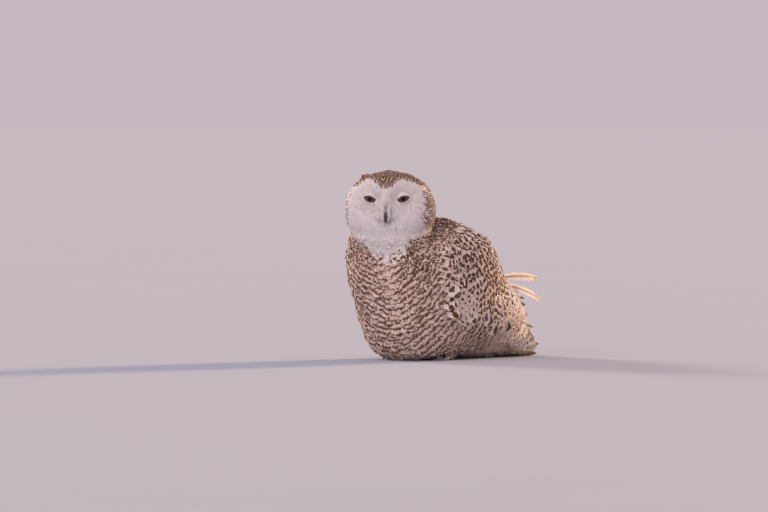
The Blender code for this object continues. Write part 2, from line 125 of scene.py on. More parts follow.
TOE_HOLLOW = (0.050, 0.042, 0.0)
TOE_HOLLOW_HALF = (0.044, 0.062, 0.030)

RAISED_FEATHERS = {
    "upper": (12.40, 30, (0.070, 0.316, 0.150)),
    "lower": (12.85, 33, (0.078, 0.318, 0.107)),
}
RAISED_ROLL = math.radians(55)

MANTLE_SINK = 0.004  # the mantle's feathers lie this much inside the solid
MANTLE_STATION, MANTLE_REACH = 8.2, 1.2
MANTLE_SIDES = (1.1, 0.5)  # in radians from the back, where the sinking starts and is full
REAR_DROOP = 0.28  # how much lower the folded wings end than their solid
REAR_STATIONS = (15.0, 17.0)
COAT_END = 17.0
FLOOR_GAP = 0.0006  # no feather reaches lower than this


def smoothstep(low, high, x):
    f = np.clip((np.asarray(x, float) - low) / (high - low), 0.0, 1.0)
    return f * f * (3 - 2 * f)


def bump(x, middle, width):
    """A soft hill of height 1."""
    return np.exp(-(((np.asarray(x, float) - middle) / width) ** 2))


def unit(vectors):
    length = np.linalg.norm(vectors, axis=-1, keepdims=True)
    return vectors / np.maximum(length, 1e-9)


def dot(a, b):
    return np.sum(a * b, axis=-1)


def side_by_side(shape, *values):
    """Values spread over a shape, as the parts of one vector at each of its places."""
    return np.stack([np.broadcast_to(value, shape) for value in values], axis=-1)


def from_back(angles):
    """The angle from the middle of the back, from minus a half turn to a half turn."""
    return (np.asarray(angles, float) + math.pi) % TAU - math.pi


def body_rows(stations):
    """The body table at fractional stations, on a Catmull-Rom curve."""
    last = len(BODY_TABLE) - 1
    row = np.clip(np.floor(stations).astype(int), 0, last - 1)
    f = (stations - row)[..., None]
    before, here = BODY_TABLE[np.maximum(row - 1, 0)], BODY_TABLE[row]
    there, after = BODY_TABLE[row + 1], BODY_TABLE[np.minimum(row + 2, last)]
    slope_here, slope_there = (there - before) / 2, (after - here) / 2
    rows = (
        (2 * f**3 - 3 * f**2 + 1) * here
        + (f**3 - 2 * f**2 + f) * slope_here
        + (3 * f**2 - 2 * f**3) * there
        + (f**3 - f**2) * slope_there
    )
    return np.moveaxis(rows, -1, 0)


def wing_share(stations, angles):
    """Where a place lies across the folded wing: -1 at its upper edge, 1 at its lower."""
    upper = np.radians(np.interp(stations, *zip(*WING_UPPER_EDGE)))
    lower = np.radians(np.interp(stations, *zip(*WING_LOWER_EDGE)))
    return (np.abs(from_back(angles)) - (upper + lower) / 2) / ((lower - upper) / 2)


def wing_lift(stations, angles):
    """How far the folded wing stands off the body."""
    across = np.abs(wing_share(stations, angles))
    reach = (stations - WING_START) / (WING_END - WING_START)
    thick = WING_THICK * np.clip(0.30 + 3.2 * reach, 0.0, 1.0)
    thick += (WING_TIP_THICK - WING_THICK) * smoothstep(0.45, 1.0, reach)
    lift = WING_EDGE * smoothstep(1.12, 1.0, across)
    lift += (thick - WING_EDGE) * (1 - np.clip(across, 0, 1) ** 4) ** 0.7
    return lift * smoothstep(WING_START - 0.25, WING_START + 0.15, stations)


def turned(points, stations):
    """Turns points of the head and neck about the head's upright axis."""
    angle = HEAD_TURN * (1 - smoothstep(*TURN_ENDS_AT, stations))
    x, y = points[..., 0], points[..., 1] - HEAD_AXIS_Y
    across = x * np.cos(angle) - y * np.sin(angle)
    along = x * np.sin(angle) + y * np.cos(angle) + HEAD_AXIS_Y
    return np.stack([across, along, points[..., 2]], axis=-1)


def face_relief(points, stations):
    """Hollows the facial disc round each eye and raises the ridge between them."""
    x, y, z = np.moveaxis(points, -1, 0)
    dish = np.exp(-((np.abs(x) - EYE_SPREAD) ** 2 + (z - DISC_Z) ** 2) / (2 * DISC_RADIUS**2))
    ridge = np.exp(-((x / RIDGE_HALF_WIDTH) ** 2) / 2)
    ridge *= smoothstep(*RIDGE_FOOT, z) * (1 - smoothstep(*RIDGE_TOP, z))
    front = (y <= HEAD_AXIS_Y) & (stations < STATION["throat"])
    pushed = y + np.where(front, DISC_DEPTH * dish - RIDGE_HEIGHT * ridge, 0.0)
    return np.stack([x, pushed, z], axis=-1)


def coat_points(stations, angles, wings=1.0):
    """Points on the outside of the coat, before the row's shift."""
    cap = np.clip(1 + stations, 0.0, 1.0)
    front_y, front_z, back_y, back_z, half_width, fuller = body_rows(np.maximum(stations, 0.0))
    along, aside = np.cos(angles), np.sin(angles)
    power = 2 / SQUARENESS
    bent_along = np.sign(along) * np.abs(along) ** power * cap
    bent_aside = np.sign(aside) * np.abs(aside) ** power * (1 - fuller * along) * cap
    depth_y, depth_z = (back_y - front_y) / 2, (back_z - front_z) / 2
    depth = np.hypot(depth_y, depth_z)
    lift = wing_lift(stations, angles) * wings
    mantle = bump(stations, MANTLE_STATION, MANTLE_REACH)
    lift -= MANTLE_SINK * mantle * smoothstep(*MANTLE_SIDES, np.abs(from_back(angles)))
    out_x = aside / half_width
    out_y, out_z = depth_y / depth * along / depth, depth_z / depth * along / depth
    scale = lift / np.sqrt(out_x**2 + out_y**2 + out_z**2)
    x = half_width * bent_aside + out_x * scale
    y = (front_y + back_y) / 2 + depth_y * bent_along + out_y * scale
    z = (front_z + back_z) / 2 + depth_z * bent_along + out_z * scale + CAP_RISE * (1 - cap**2)
    z = z * (1 - REAR_DROOP * smoothstep(*REAR_STATIONS, stations))
    return turned(face_relief(np.stack([x, y, z], axis=-1), stations), stations)


def ring_radius(stations):
    """A mean radius of the body's ring, for measuring round it."""
    front_y, front_z, back_y, back_z, half_width, _ = body_rows(np.maximum(stations, 0.0))
    depth = np.hypot(back_y - front_y, back_z - front_z) / 2
    return (depth + half_width) / 2


def head_place(points):
    """Points in the head's own frame, with the turn and the row's shift taken out."""
    moved = points - SHIFT - np.array([0.0, HEAD_AXIS_Y, 0.0])
    x = moved[..., 0] * HEAD_COSINE + moved[..., 1] * HEAD_SINE
    y = -moved[..., 0] * HEAD_SINE + moved[..., 1] * HEAD_COSINE
    return x, y, moved[..., 2]


def with_head(x, y, z):
    """Directions given in the head's own frame, turned as the head is."""
    return np.stack([x * HEAD_COSINE - y * HEAD_SINE, x * HEAD_SINE + y * HEAD_COSINE, z], axis=-1)


def head_point(x, y, z):
    """Points given in the head's own frame, in the row's frame."""
    return with_head(x, y, z) + np.array([0.0, HEAD_AXIS_Y, 0.0]) + SHIFT


# How far the feathers sweep outwards as they run down, as a share of their run: on the belly,
# and how much more than that on the breast. They part along the breast's middle, and sweep
# less on its right. The rows of feathers slope to match, and level out again over the back.
SWEEP = 0.36
SWEEP_MORE = 0.46
RIGHT_SWEEP = 0.5
SWEEP_STARTS, SWEEP_LESSENS, SWEEP_ENDS = (5.6, 7.8), (12.6, 8.2), (15.5, 11.0)
SWEEP_SIDES = (1.25, 0.8)  # in radians from the breast's middle
BREAST_MIDDLE = math.radians(168)
ROW_REACH = ((0.0, 0.8, 1.1, math.pi), (0.0, 0.8, 0.9, 0.0))


def from_middle(angles):
    """The angle from the breast's middle, above zero on the right."""
    return (np.asarray(angles) - BREAST_MIDDLE + math.pi) % TAU - math.pi


def sweep_at(stations, angles):
    high = SWEEP + SWEEP_MORE * smoothstep(*SWEEP_LESSENS, stations)
    high = high * smoothstep(*SWEEP_STARTS, stations) * smoothstep(*SWEEP_ENDS, stations)
    return high * np.where(from_middle(angles) > 0, RIGHT_SWEEP, 1.0)


# The waves in the rows of feathers: height, how many to a turn, and their drift by station.
ROW_WAVES = ((0.0015, 9, 2.0), (0.0010, 15, -3.1), (0.0004, 23, 4.3))
WAVES_START = (5.5, 7.5)

# Where the face's feathers spread from: x, z before the head turns, and weight. The face
# reaches back, aside and up to these soft edges; beyond them the feathers lie backwards.
FACE_CENTRES = (
    (EYE_SPREAD, EYE_Z, 1.0), (-EYE_SPREAD, EYE_Z, 1.0), (0.0, BILL_Z + 0.006, 0.7),
)
FACE_BACK_Y, FACE_SIDE_X, FACE_TOP_Z = (-0.020, -0.045), (0.085, 0.070), (0.350, 0.335)
CROWN_LIE = unit(np.array([0.0, 0.9, -0.45]))
NAPE_STATIONS, THROAT_STATIONS = (3.2, 4.6), (4.9, 6.1)  # where the head's lie gives way


class Coat:
    """The outside of the coat on a grid of stations and angles. At any place it gives the
    point, the outward normal, the steps along and round, the lie of the feathers, and the
    run, which grows along the lie and is level along a row of feathers."""

    STEP = 0.05
    COLUMNS = 180

    def __init__(self):
        self.stations = np.arange(CROWN_CAP, COAT_END + self.STEP / 2, self.STEP)
        self.angles = np.arange(self.COLUMNS) * TAU / self.COLUMNS
        s, a = np.meshgrid(self.stations, self.angles, indexing="ij")
        points = coat_points(s, a) + SHIFT
        along = np.gradient(points, self.STEP, axis=0)
        round_step = 2 * TAU / self.COLUMNS
        around = (np.roll(points, -1, axis=1) - np.roll(points, 1, axis=1)) / round_step
        normal = np.cross(along, around)
        outward = points - points.mean(axis=1, keepdims=True)
        normal *= np.sign(np.sum(dot(normal, outward)))
        normal[0] = (0, 0, 1)
        normal = self.softened(unit(normal))
        steps = np.linalg.norm(np.diff(points, axis=0), axis=-1)
        run = np.vstack([np.zeros(self.COLUMNS), np.cumsum(steps, axis=0)])
        run += sweep_at(s, a) * ring_radius(s) * np.interp(np.abs(from_middle(a)), *ROW_REACH)
        for height, turns, drift in ROW_WAVES:
            run += height * np.sin(turns * a + drift * s) * smoothstep(*WAVES_START, s)
        self.run = np.maximum.accumulate(run, axis=0)
        lie = self.lie(s, a, points, unit(along), unit(around), normal)
        parts = [points, normal, along, around, lie, self.run[..., None]]
        self.channels = np.concatenate(parts, axis=-1)

    @staticmethod
    def softened(field, rounds=3):
        for _ in range(rounds):
            field = field + np.roll(field, 1, axis=1) + np.roll(field, -1, axis=1)
            padded = np.concatenate([field[:1], field, field[-1:]])
            field = padded[:-2] + padded[1:-1] + padded[2:]
        return unit(field)

    @staticmethod
    def lie(s, a, points, along, around, normal):
        """Which way the feathers point: down the body, back over the crown, and outwards
        from the eyes and the bill over the face."""
        middle = from_middle(a)
        aside = np.abs(np.sin(middle)) ** 0.5 * smoothstep(*SWEEP_SIDES, np.abs(middle))
        outwards = (np.sign(middle) * sweep_at(s, a) * aside)[..., None] * around
        down = unit(along + outwards)
        x, y, z = head_place(points)
        radial = np.zeros_like(points)
        for centre_x, centre_z, weight in FACE_CENTRES:
            gone_x, gone_z = x - centre_x, z - centre_z
            share = weight / (gone_x**2 + gone_z**2 + 1e-5)
            radial += side_by_side(x.shape, gone_x * share, 0.0, gone_z * share)
        facing = smoothstep(*FACE_BACK_Y, y) * smoothstep(*FACE_SIDE_X, np.abs(x))
        facing = (facing * smoothstep(*FACE_TOP_Z, z))[..., None]
        mixed = unit(radial) * facing + CROWN_LIE * (1 - facing)
        mixed = unit(with_head(*np.moveaxis(mixed, -1, 0)))
        front = smoothstep(0.2, -0.3, np.cos(a))
        nape, throat = smoothstep(*NAPE_STATIONS, s), smoothstep(*THROAT_STATIONS, s)
        below = (nape * (1 - front) + throat * front)[..., None]
        flow = mixed * (1 - below) + down * below
        return unit(flow - normal * dot(flow, normal)[..., None])

    def at(self, s, a):
        """Reads the grid between its points, and runs on straight past its last ring."""
        row = (np.asarray(s) - CROWN_CAP) / self.STEP
        first = np.clip(np.floor(row).astype(int), 0, len(self.stations) - 2)
        f = np.clip(row - first, 0.0, 40.0)[..., None]
        column = (np.asarray(a) % TAU) / (TAU / self.COLUMNS)
        left = np.floor(column).astype(int) % self.COLUMNS
        right = (left + 1) % self.COLUMNS
        g = (column - np.floor(column))[..., None]
        near = self.channels[first, left] * (1 - g) + self.channels[first, right] * g
        far = self.channels[first + 1, left] * (1 - g) + self.channels[first + 1, right] * g
        value = near * (1 - f) + far * f
        return {
            "point": value[..., 0:3],
            "normal": unit(value[..., 3:6]),
            "along": value[..., 6:9],
            "around": value[..., 9:12],
            "lie": unit(value[..., 12:15]),
            "run": value[..., 15],
        }

    def move(self, s, a, here, step):
        """The place that a small step along the surface leads to."""
        along, around = here["along"], here["around"]
        aa, ab, bb = dot(along, along), dot(along, around), dot(around, around)
        pa, pb = dot(step, along), dot(step, around)
        scale = aa * bb - ab * ab + 1e-10
        forward = np.clip((pa * bb - pb * ab) / scale, -0.4, 0.4)
        sideways = np.clip((pb * aa - pa * ab) / scale, -0.5, 0.5)
        return np.clip(s + forward, CROWN_CAP, COAT_END + 1.2), a + sideways


coat = Coat()


# ---- Where the marks lie: shares from 0 to 1 by the place on the coat ----

# The crown's dark edge over the face: its height, and then how much it rises or falls, where
# across the head, and over what width.
HAIRLINE_Z = 0.3385
HAIRLINE_SOFTNESS = (-0.003, 0.004)
HAIRLINE_PEAK = (0.0165, -0.001, 0.017)
HAIRLINE_BROW = (0.002, 0.031, 0.008)
HAIRLINE_FALL, HAIRLINE_FALLS_AT = 0.010, (0.040, 0.060)
CROWN_THINS, CROWN_THINS_AT = 0.45, (-0.010, 0.045)
CHEEK_EDGE_LEFT, CHEEK_EDGE_RIGHT, CHEEK_EDGE_WIDTH = 0.063, 0.070, 0.011
CHEEK_FOOT, CHEEK_FLECKS_Y, FLECKS_FOOT = (0.225, 0.260), (-0.045, 0.010), (0.200, 0.225)

# Soft steps along the body, between two stations.
HEAD_ENDS, NECK_ENDS, SPECKLE_ENDS = (5.6, 6.6), (7.6, 6.6), (5.4, 6.2)
BARS_START, SPOTS_START, WING_MARKS_START = (6.0, 6.8), (5.2, 5.8), (7.5, 7.9)
BREAST_WARMS, CENTRE_LINE_ENDS = (5.8, 6.8), (11.4, 9.6)
VENT_STATIONS, REAR_WING, WING_TIP_MARKS = (12.6, 13.8), (11.8, 13.2), (14.5, 16.5)
# Where the painted golden rim light comes in over the rear.
PAINTED_RIM_REAR = (14.0, 16.8)

# The front's bars start at these degrees round from the back, and further round on the neck.
FRONT_DEGREES, FRONT_DEGREES_NECK = (62, 84), (26, 22)
CENTRE_LINE_DEGREES = 5.5
WING_EDGE_SHARES = (1.04, 0.96)
MANTLE_DEGREES, MANTLE_MARKS_REACH = (75, 45), 0.9
# The flank's feathers come up over the wing's lower edge here: station and reach, degrees.
FLANK_OVER_WING, FLANK_OVER_WING_DEGREES = (12.6, 0.9), (92, 101)

# Patches of the coat: strength, the middle station and the reach along the body, the middle
# in degrees round from the back and the reach round it.
PATCHES = {
    "white_shoulder": (1.0, 8.0, 0.6, 103, 7),
    "dark_nape": (1.0, 6.9, 0.6, 101, 10),
    # Painted shade of the folds on the left shoulder, which widens the bars there and turns them
    # olive.
    "fold_shade_shoulder": (1.0, 7.9, 0.9, 133, 14),
    "bold_wing_spots": (0.9, 10.6, 1.5, 82, 18),
    "pale_wing_front": (0.6, 10.8, 0.75, 106, 11),
}

# How much of a mark a region loses, and how warm its ground is.
CENTRE_LINE_PALE, SHOULDER_PALE, VENT_PALE = 0.75, 0.6, 0.9
WING_TIP_PALE, REAR_WING_PALE = 0.2, 0.35
MANTLE_BOLDER = 0.20
FLECKS_LEFT, FLECKS_RIGHT = 0.85, 0.45
GROUND_WARMTH, BODY_WARMTH, FRONT_WARMTH, VENT_WARMTH = 0.15, 0.17, 0.26, 0.12
WING_COOLNESS, SHOULDER_COOLNESS = 0.05, 0.15
CROWN_WARMTH, NAPE_WARMTH = 0.42, 0.5

# The white bib under the chin: half its width at these heights, and its soft lower edge.
BIB_HEIGHTS = (0.178, 0.190, 0.202, 0.220, 0.236)
BIB_HALVES = (0.002, 0.011, 0.026, 0.041, 0.052)
BIB_SIDES, BIB_FOOT = (0.007, -0.005), (0.176, 0.190)
BIB_UNEVEN = ((0.006, 410, 290), (0.005, 930, -610))


def patch(name, s, degrees):
    strength, station, reach, middle, width = PATCHES[name]
    return strength * bump(s, station, reach) * bump(degrees, middle, width)


def bib_share(points):
    """The white bib under the chin: broad above, drawn in below, with an uneven edge."""
    x, y, z = head_place(points)
    half = np.interp(z, BIB_HEIGHTS, BIB_HALVES)
    uneven = sum(height * np.sin(x * by_x + z * by_z) for height, by_x, by_z in BIB_UNEVEN)
    edge = np.abs(x) + uneven
    wide, narrow = BIB_SIDES
    return smoothstep(half + wide, half + narrow, edge) * smoothstep(*BIB_FOOT, z) * (y < 0)


def face_marks(points):
    """How much of the crown's dark speckle and of the cheek's flecks a head place has."""
    x, y, z = head_place(points)
    width = np.abs(x)
    peak, peak_x, peak_width = HAIRLINE_PEAK
    brow, brow_x, brow_width = HAIRLINE_BROW
    hairline = HAIRLINE_Z - peak * bump(x, peak_x, peak_width)
    hairline += brow * bump(width, brow_x, brow_width)
    hairline -= HAIRLINE_FALL * smoothstep(*HAIRLINE_FALLS_AT, width)
    under, over = HAIRLINE_SOFTNESS
    crown = smoothstep(hairline + under, hairline + over, z)
    crown *= 1 - CROWN_THINS * smoothstep(*CROWN_THINS_AT, y)
    behind = smoothstep(*CHEEK_FLECKS_Y, y)
    inner = np.where(x > 0, CHEEK_EDGE_LEFT, CHEEK_EDGE_RIGHT)
    cheek_edge = smoothstep(inner, inner + CHEEK_EDGE_WIDTH, width) * smoothstep(*CHEEK_FOOT, z)
    flecks = np.maximum(behind, cheek_edge) * smoothstep(*FLECKS_FOOT, z)
    return crown, flecks


def marks_at(s, a, points):
    """Bars, spots, speckle, then warmth, olive and the share of painted golden rim light, at places
    on the coat.
    """
    degrees = np.degrees(np.abs(from_back(a)))
    left = np.sin(a) > 0
    x, _, _ = head_place(points)
    crown, flecks = face_marks(points)
    off_bib = 1 - bib_share(points)
    head = 1 - smoothstep(*HEAD_ENDS, s)
    neck = smoothstep(*NECK_ENDS, s)
    (start, end), (start_more, end_more) = FRONT_DEGREES, FRONT_DEGREES_NECK
    front = smoothstep(start + start_more * neck, end + end_more * neck, degrees)
    vent = smoothstep(*VENT_STATIONS, s)
    wing = smoothstep(*WING_EDGE_SHARES, np.abs(wing_share(s, a)))
    wing *= smoothstep(*WING_MARKS_START, s)
    wing *= 1 - smoothstep(*FLANK_OVER_WING_DEGREES, degrees) * bump(s, *FLANK_OVER_WING)
    shoulder = patch("white_shoulder", s, degrees) * left
    nape = patch("dark_nape", s, degrees) * left

    bars = front * smoothstep(*BARS_START, s) * off_bib
    centre_line = bump(np.degrees(from_middle(a)), 0.0, CENTRE_LINE_DEGREES)
    bars *= 1 - CENTRE_LINE_PALE * centre_line * smoothstep(*CENTRE_LINE_ENDS, s)
    bars *= 1 - SHOULDER_PALE * shoulder
    bars *= 1 - VENT_PALE * vent
    bars = np.maximum(bars * (1 - wing), nape) * (1 - head)

    spots = (1 - front) * smoothstep(*SPOTS_START, s)
    spots = np.maximum(spots * (1 - wing), wing)
    bold = bump(s, MANTLE_STATION, MANTLE_MARKS_REACH) * smoothstep(*MANTLE_DEGREES, degrees)
    bold = np.maximum(bold, patch("bold_wing_spots", s, degrees))
    spots *= (1.0 + MANTLE_BOLDER * bold) * (1 - WING_TIP_PALE * smoothstep(*WING_TIP_MARKS, s))
    spots *= 1 - patch("pale_wing_front", s, degrees)
    spots *= 1 - REAR_WING_PALE * (wing * smoothstep(*REAR_WING, s))

    fleck_share = np.where(x > 0, FLECKS_LEFT, FLECKS_RIGHT)
    speckle = np.clip(crown + fleck_share * flecks * (1 - crown), 0, 1)
    speckle *= 1 - smoothstep(*SPECKLE_ENDS, s)

    warmth = GROUND_WARMTH + BODY_WARMTH * smoothstep(*BREAST_WARMS, s) * off_bib
    warmth += FRONT_WARMTH * front * off_bib * (1 - head) - WING_COOLNESS * wing
    warmth += VENT_WARMTH * vent * front - SHOULDER_COOLNESS * shoulder
    warmth = np.maximum(warmth, CROWN_WARMTH * crown + CROWN_WARMTH * speckle)
    warmth += NAPE_WARMTH * nape
    # The olive share: the dark nape, and painted fold shade on the left shoulder.
    olive = np.maximum(nape, patch("fold_shade_shoulder", s, degrees) * left)
    # Painted light: a golden backlit rim over the rear of the body.
    painted_light = smoothstep(*PAINTED_RIM_REAR, s)
    return np.stack([bars, spots, speckle], axis=-1), np.stack([warmth, olive, painted_light], axis=-1)


# ---- Laying feathers on the coat ----


def rows_of_roots(spacing, gap, first, last, seed, jitter):
    """Roots in rows across the lie, each row set off from the last as roof tiles are."""
    random = np.random.default_rng(seed)
    found = []
    levels = np.arange(coat.run.min(), coat.run.max(), spacing)
    columns = np.arange(coat.COLUMNS + 1) * TAU / coat.COLUMNS
    for number, level in enumerate(levels):
        row = [np.interp(level, coat.run[:, j], coat.stations) for j in range(coat.COLUMNS)]
        row = np.array(row + row[:1])
        points = coat.at(row, columns)["point"]
        lengths = np.linalg.norm(np.diff(points, axis=0), axis=-1)
        arc = np.concatenate([[0.0], np.cumsum(lengths)])
        count = int(round(arc[-1] / gap))
        if count < 4:
            continue
        middle = np.interp(math.pi, columns, arc)
        offsets = (np.arange(count) + 0.5 * (number % 2)) * arc[-1] / count
        offsets = (middle + offsets) % arc[-1]
        angles = np.interp(offsets, arc, columns)
        stations = np.interp(angles, columns, row)
        keep = (stations > first) & (stations < last)
        found.append(np.stack([stations[keep], angles[keep]], axis=-1))
    roots = np.concatenate(found)
    here = coat.at(roots[:, 0], roots[:, 1])
    shake = random.uniform(-jitter, jitter, (len(roots), 2))
    step = unit(here["along"]) * shake[:, :1] * spacing + unit(here["around"]) * shake[:, 1:] * gap
    return coat.move(roots[:, 0], roots[:, 1], here, step)


TRIES = 14  # for each place that scattered roots could take


def scattered_roots(spacing, first, last, seed, inside=None):
    """Roots no nearer to each other than a spacing, in no order."""
    random = np.random.default_rng(seed)
    s, a = np.meshgrid(coat.stations, coat.angles, indexing="ij")
    here = coat.at(s, a)
    area = np.linalg.norm(np.cross(here["along"], here["around"]), axis=-1)
    area *= (s >= first) & (s <= last)
    if inside is not None:
        area *= inside(s, a, here["point"])
    total = area.sum() * coat.STEP * TAU / coat.COLUMNS
    count = int(TRIES * total / spacing**2)
    picks = random.choice(area.size, size=count, p=(area / area.sum()).ravel())
    shake = random.uniform(-0.5, 0.5, (count, 2))
    stations = np.clip(s.ravel()[picks] + shake[:, 0] * coat.STEP, CROWN_CAP, COAT_END)
    angles = a.ravel()[picks] + shake[:, 1] * TAU / coat.COLUMNS
    points = coat.at(stations, angles)["point"]
    cells = {}
    kept = []
    for index, point in enumerate(points.tolist()):
        cell = tuple(int(c // spacing) for c in point)
        nearby = itertools.product(*((c - 1, c, c + 1) for c in cell))
        others = itertools.chain.from_iterable(cells.get(place, ()) for place in nearby)
        if all(math.dist(point, other) >= spacing for other in others):
            cells.setdefault(cell, []).append(point)
            kept.append(index)
    return stations[kept], angles[kept]


def lay(s, a, length, steps, sink, rise, twist=0.0, follow=0.35, flare=0.0):
    """Runs feathers over the coat from their roots. Each sinks by a depth at its root and
    rises by a height at its tip; flare lifts the tip further, as a bend."""
    count = len(s)
    length, twist = np.broadcast_to(length, count), np.broadcast_to(twist, count)
    flare, rise = np.broadcast_to(flare, count), np.broadcast_to(rise, count)
    place_s, place_a = np.array(s), np.array(a)
    here = coat.at(place_s, place_a)
    direction = here["lie"]
    aside = np.cross(direction, here["normal"])
    direction = unit(direction + aside * np.tan(twist)[:, None])
    places = []
    for k in range(steps + 1):
        share = k / steps
        here = coat.at(place_s, place_a)
        normal = here["normal"]
        if k and follow:
            direction = direction * (1 - follow) + here["lie"] * follow
        direction = unit(direction - normal * dot(direction, normal)[:, None])
        height = -sink + (sink + rise) * share + flare * share**2.5
        places.append({
            "spine": here["point"] + normal * height[:, None],
            "across": unit(np.cross(direction, normal)),
            "normal": normal,
            "forward": direction,
            "run": here["run"],
            "s": place_s,
            "a": place_a,
        })
        place_s, place_a = coat.move(place_s, place_a, here, direction * (length / steps)[:, None])
    laid = {key: np.stack([place[key] for place in places], axis=1) for key in places[0]}
    return laid | {"length": length, "root_s": np.array(s), "root_a": np.array(a) % TAU}


# The vanes' outlines: the width at the root as a share of the widest and what it grows by,
# where along it the feather is widest, how much it narrows again, from where to its tip, and
# how far the tip is rounded. A plume narrows all the way.
VANE_SHAPES = {
    "plume": (0.35, 0.65, 0.50, 0.86, None, 0.7),
    "contour": (0.34, 0.66, 0.62, 0.30, 0.72, 0.85),
    "flight": (0.30, 0.70, 0.45, 0.25, 0.75, 0.9),
}


def vane_width(shares, kind):
    """The half-width along a feather as a share of its widest."""
    root, growth, widest_at, narrowing, narrows_from, _ = VANE_SHAPES[kind]
    opening = root + growth * np.sin(np.clip(shares / widest_at, 0, 1) * math.pi / 2)
    closing = smoothstep(narrows_from, 1.0, shares) if narrows_from else shares**3
    return opening * (1 - narrowing * closing)


BARS_TO_SPARE = 60  # whole bars added to a height, so that it never falls below zero


def bars_in_step(laid):
    """Heights from the tip that bring the bars of a plume in step with those of the feathers
    in rows."""
    run, length = laid["run"], laid["length"]
    slope = ((run[:, -1] - run[:, 0]) / length)[:, None]
    first_bar = (BODY_LENGTH - FIRST_BAR) * slope + coat.run.min()
    return (FIRST_BAR + BARS_TO_SPARE * ROW_SPACING + first_bar - run)[..., None]


def vanes(name, laid, half_width, columns, kind, marks, tints, seed, thick, fray, camber=7.0,
          window=None, in_step=False):
    """Makes the laid feathers as closed vanes in one mesh: a curved top, and an underside
    that meets it along the edges."""
    random = np.random.default_rng(seed)
    spine, across, normal = laid["spine"], laid["across"], laid["normal"]
    count, rows = spine.shape[:2]
    shape = (count, rows, columns + 1)
    shares = np.linspace(0, 1, rows)
    u = np.linspace(-1, 1, columns + 1)

    def near_tip(low):
        return smoothstep(low, 1.0, shares)[None, :, None]

    half_width = np.broadcast_to(half_width, count)
    half = half_width[:, None] * vane_width(shares, kind)
    reach = half[..., None] * u
    drop = 1 - np.sqrt(1 - 0.94 * u**2)
    round_back = half_width[:, None, None] * VANE_SHAPES[kind][-1] * drop * near_tip(0.45)
    ruffle = 0.0
    if fray:
        ragged = random.uniform(-0.3, 1.0, (count, 1, columns + 1)) * fray
        round_back = round_back + ragged * near_tip(0.7)
        ruffle = random.normal(0, fray * 0.22, shape) * near_tip(0.35)
    top = spine[:, :, None] + across[:, :, None] * reach[..., None]
    top = top + normal[:, :, None] * (ruffle - camber * reach**2)[..., None]
    top = top - laid["forward"][:, :, None] * round_back[..., None]
    swell = 0.4 + 0.6 * np.sin(math.pi * np.clip(shares + 0.12, 0, 1))
    depth = thick * (1 - 0.6 * shares) * swell
    under = top[:, :, columns // 2] - normal * depth[None, :, None]
    seeds = random.random(count)
    from_tip = (1 - shares)[None, :, None] * laid["length"][:, None, None] + round_back
    if in_step:
        from_tip = bars_in_step(laid)
    around = (laid["root_a"] - math.pi) * ring_radius(laid["root_s"])
    place = side_by_side(shape, around[:, None, None] + reach, laid["run"][..., None],
                         seeds[:, None, None])
    vane = side_by_side(shape, u, from_tip, half[..., None])
    marks, tints = np.broadcast_to(marks, (count, 3)), np.broadcast_to(tints, (count, 3))
    patch = ofbake_patch(laid, u, shares, window)
    return feather_mesh(name, top, under, place, vane, marks, tints, patch)


UV_END = 17.2  # the station at the map's far edge
UV_MARGIN, UV_SPAN = 0.02, 0.96
UV_SPAN_BODY = 0.84  # of the skin's body, which leaves a strip of the map for its feet
UV_PATCH = 0.003
UV_LIMITS = (0.001, 0.999)


def ofbake_patch(laid, u, shares, window):
    """A small patch for each feather at its root's place on the coat opened out flat. The
    window is the part of the coat that fills the map: two stations, then two angles."""
    low_s, high_s, low_a, high_a = window or (CROWN_CAP, UV_END, 0.0, TAU)
    spread = (laid["root_a"] - low_a) % TAU / (high_a - low_a)
    down = (laid["root_s"] - low_s) / (high_s - low_s)
    corner = np.stack([spread, down], axis=-1) * UV_SPAN + UV_MARGIN
    x = corner[:, 0, None, None] + UV_PATCH * u / 2
    y = corner[:, 1, None, None] + UV_PATCH * (shares[:, None] - 0.5)
    return np.clip(side_by_side((len(corner), len(shares), len(u)), x, y), *UV_LIMITS)


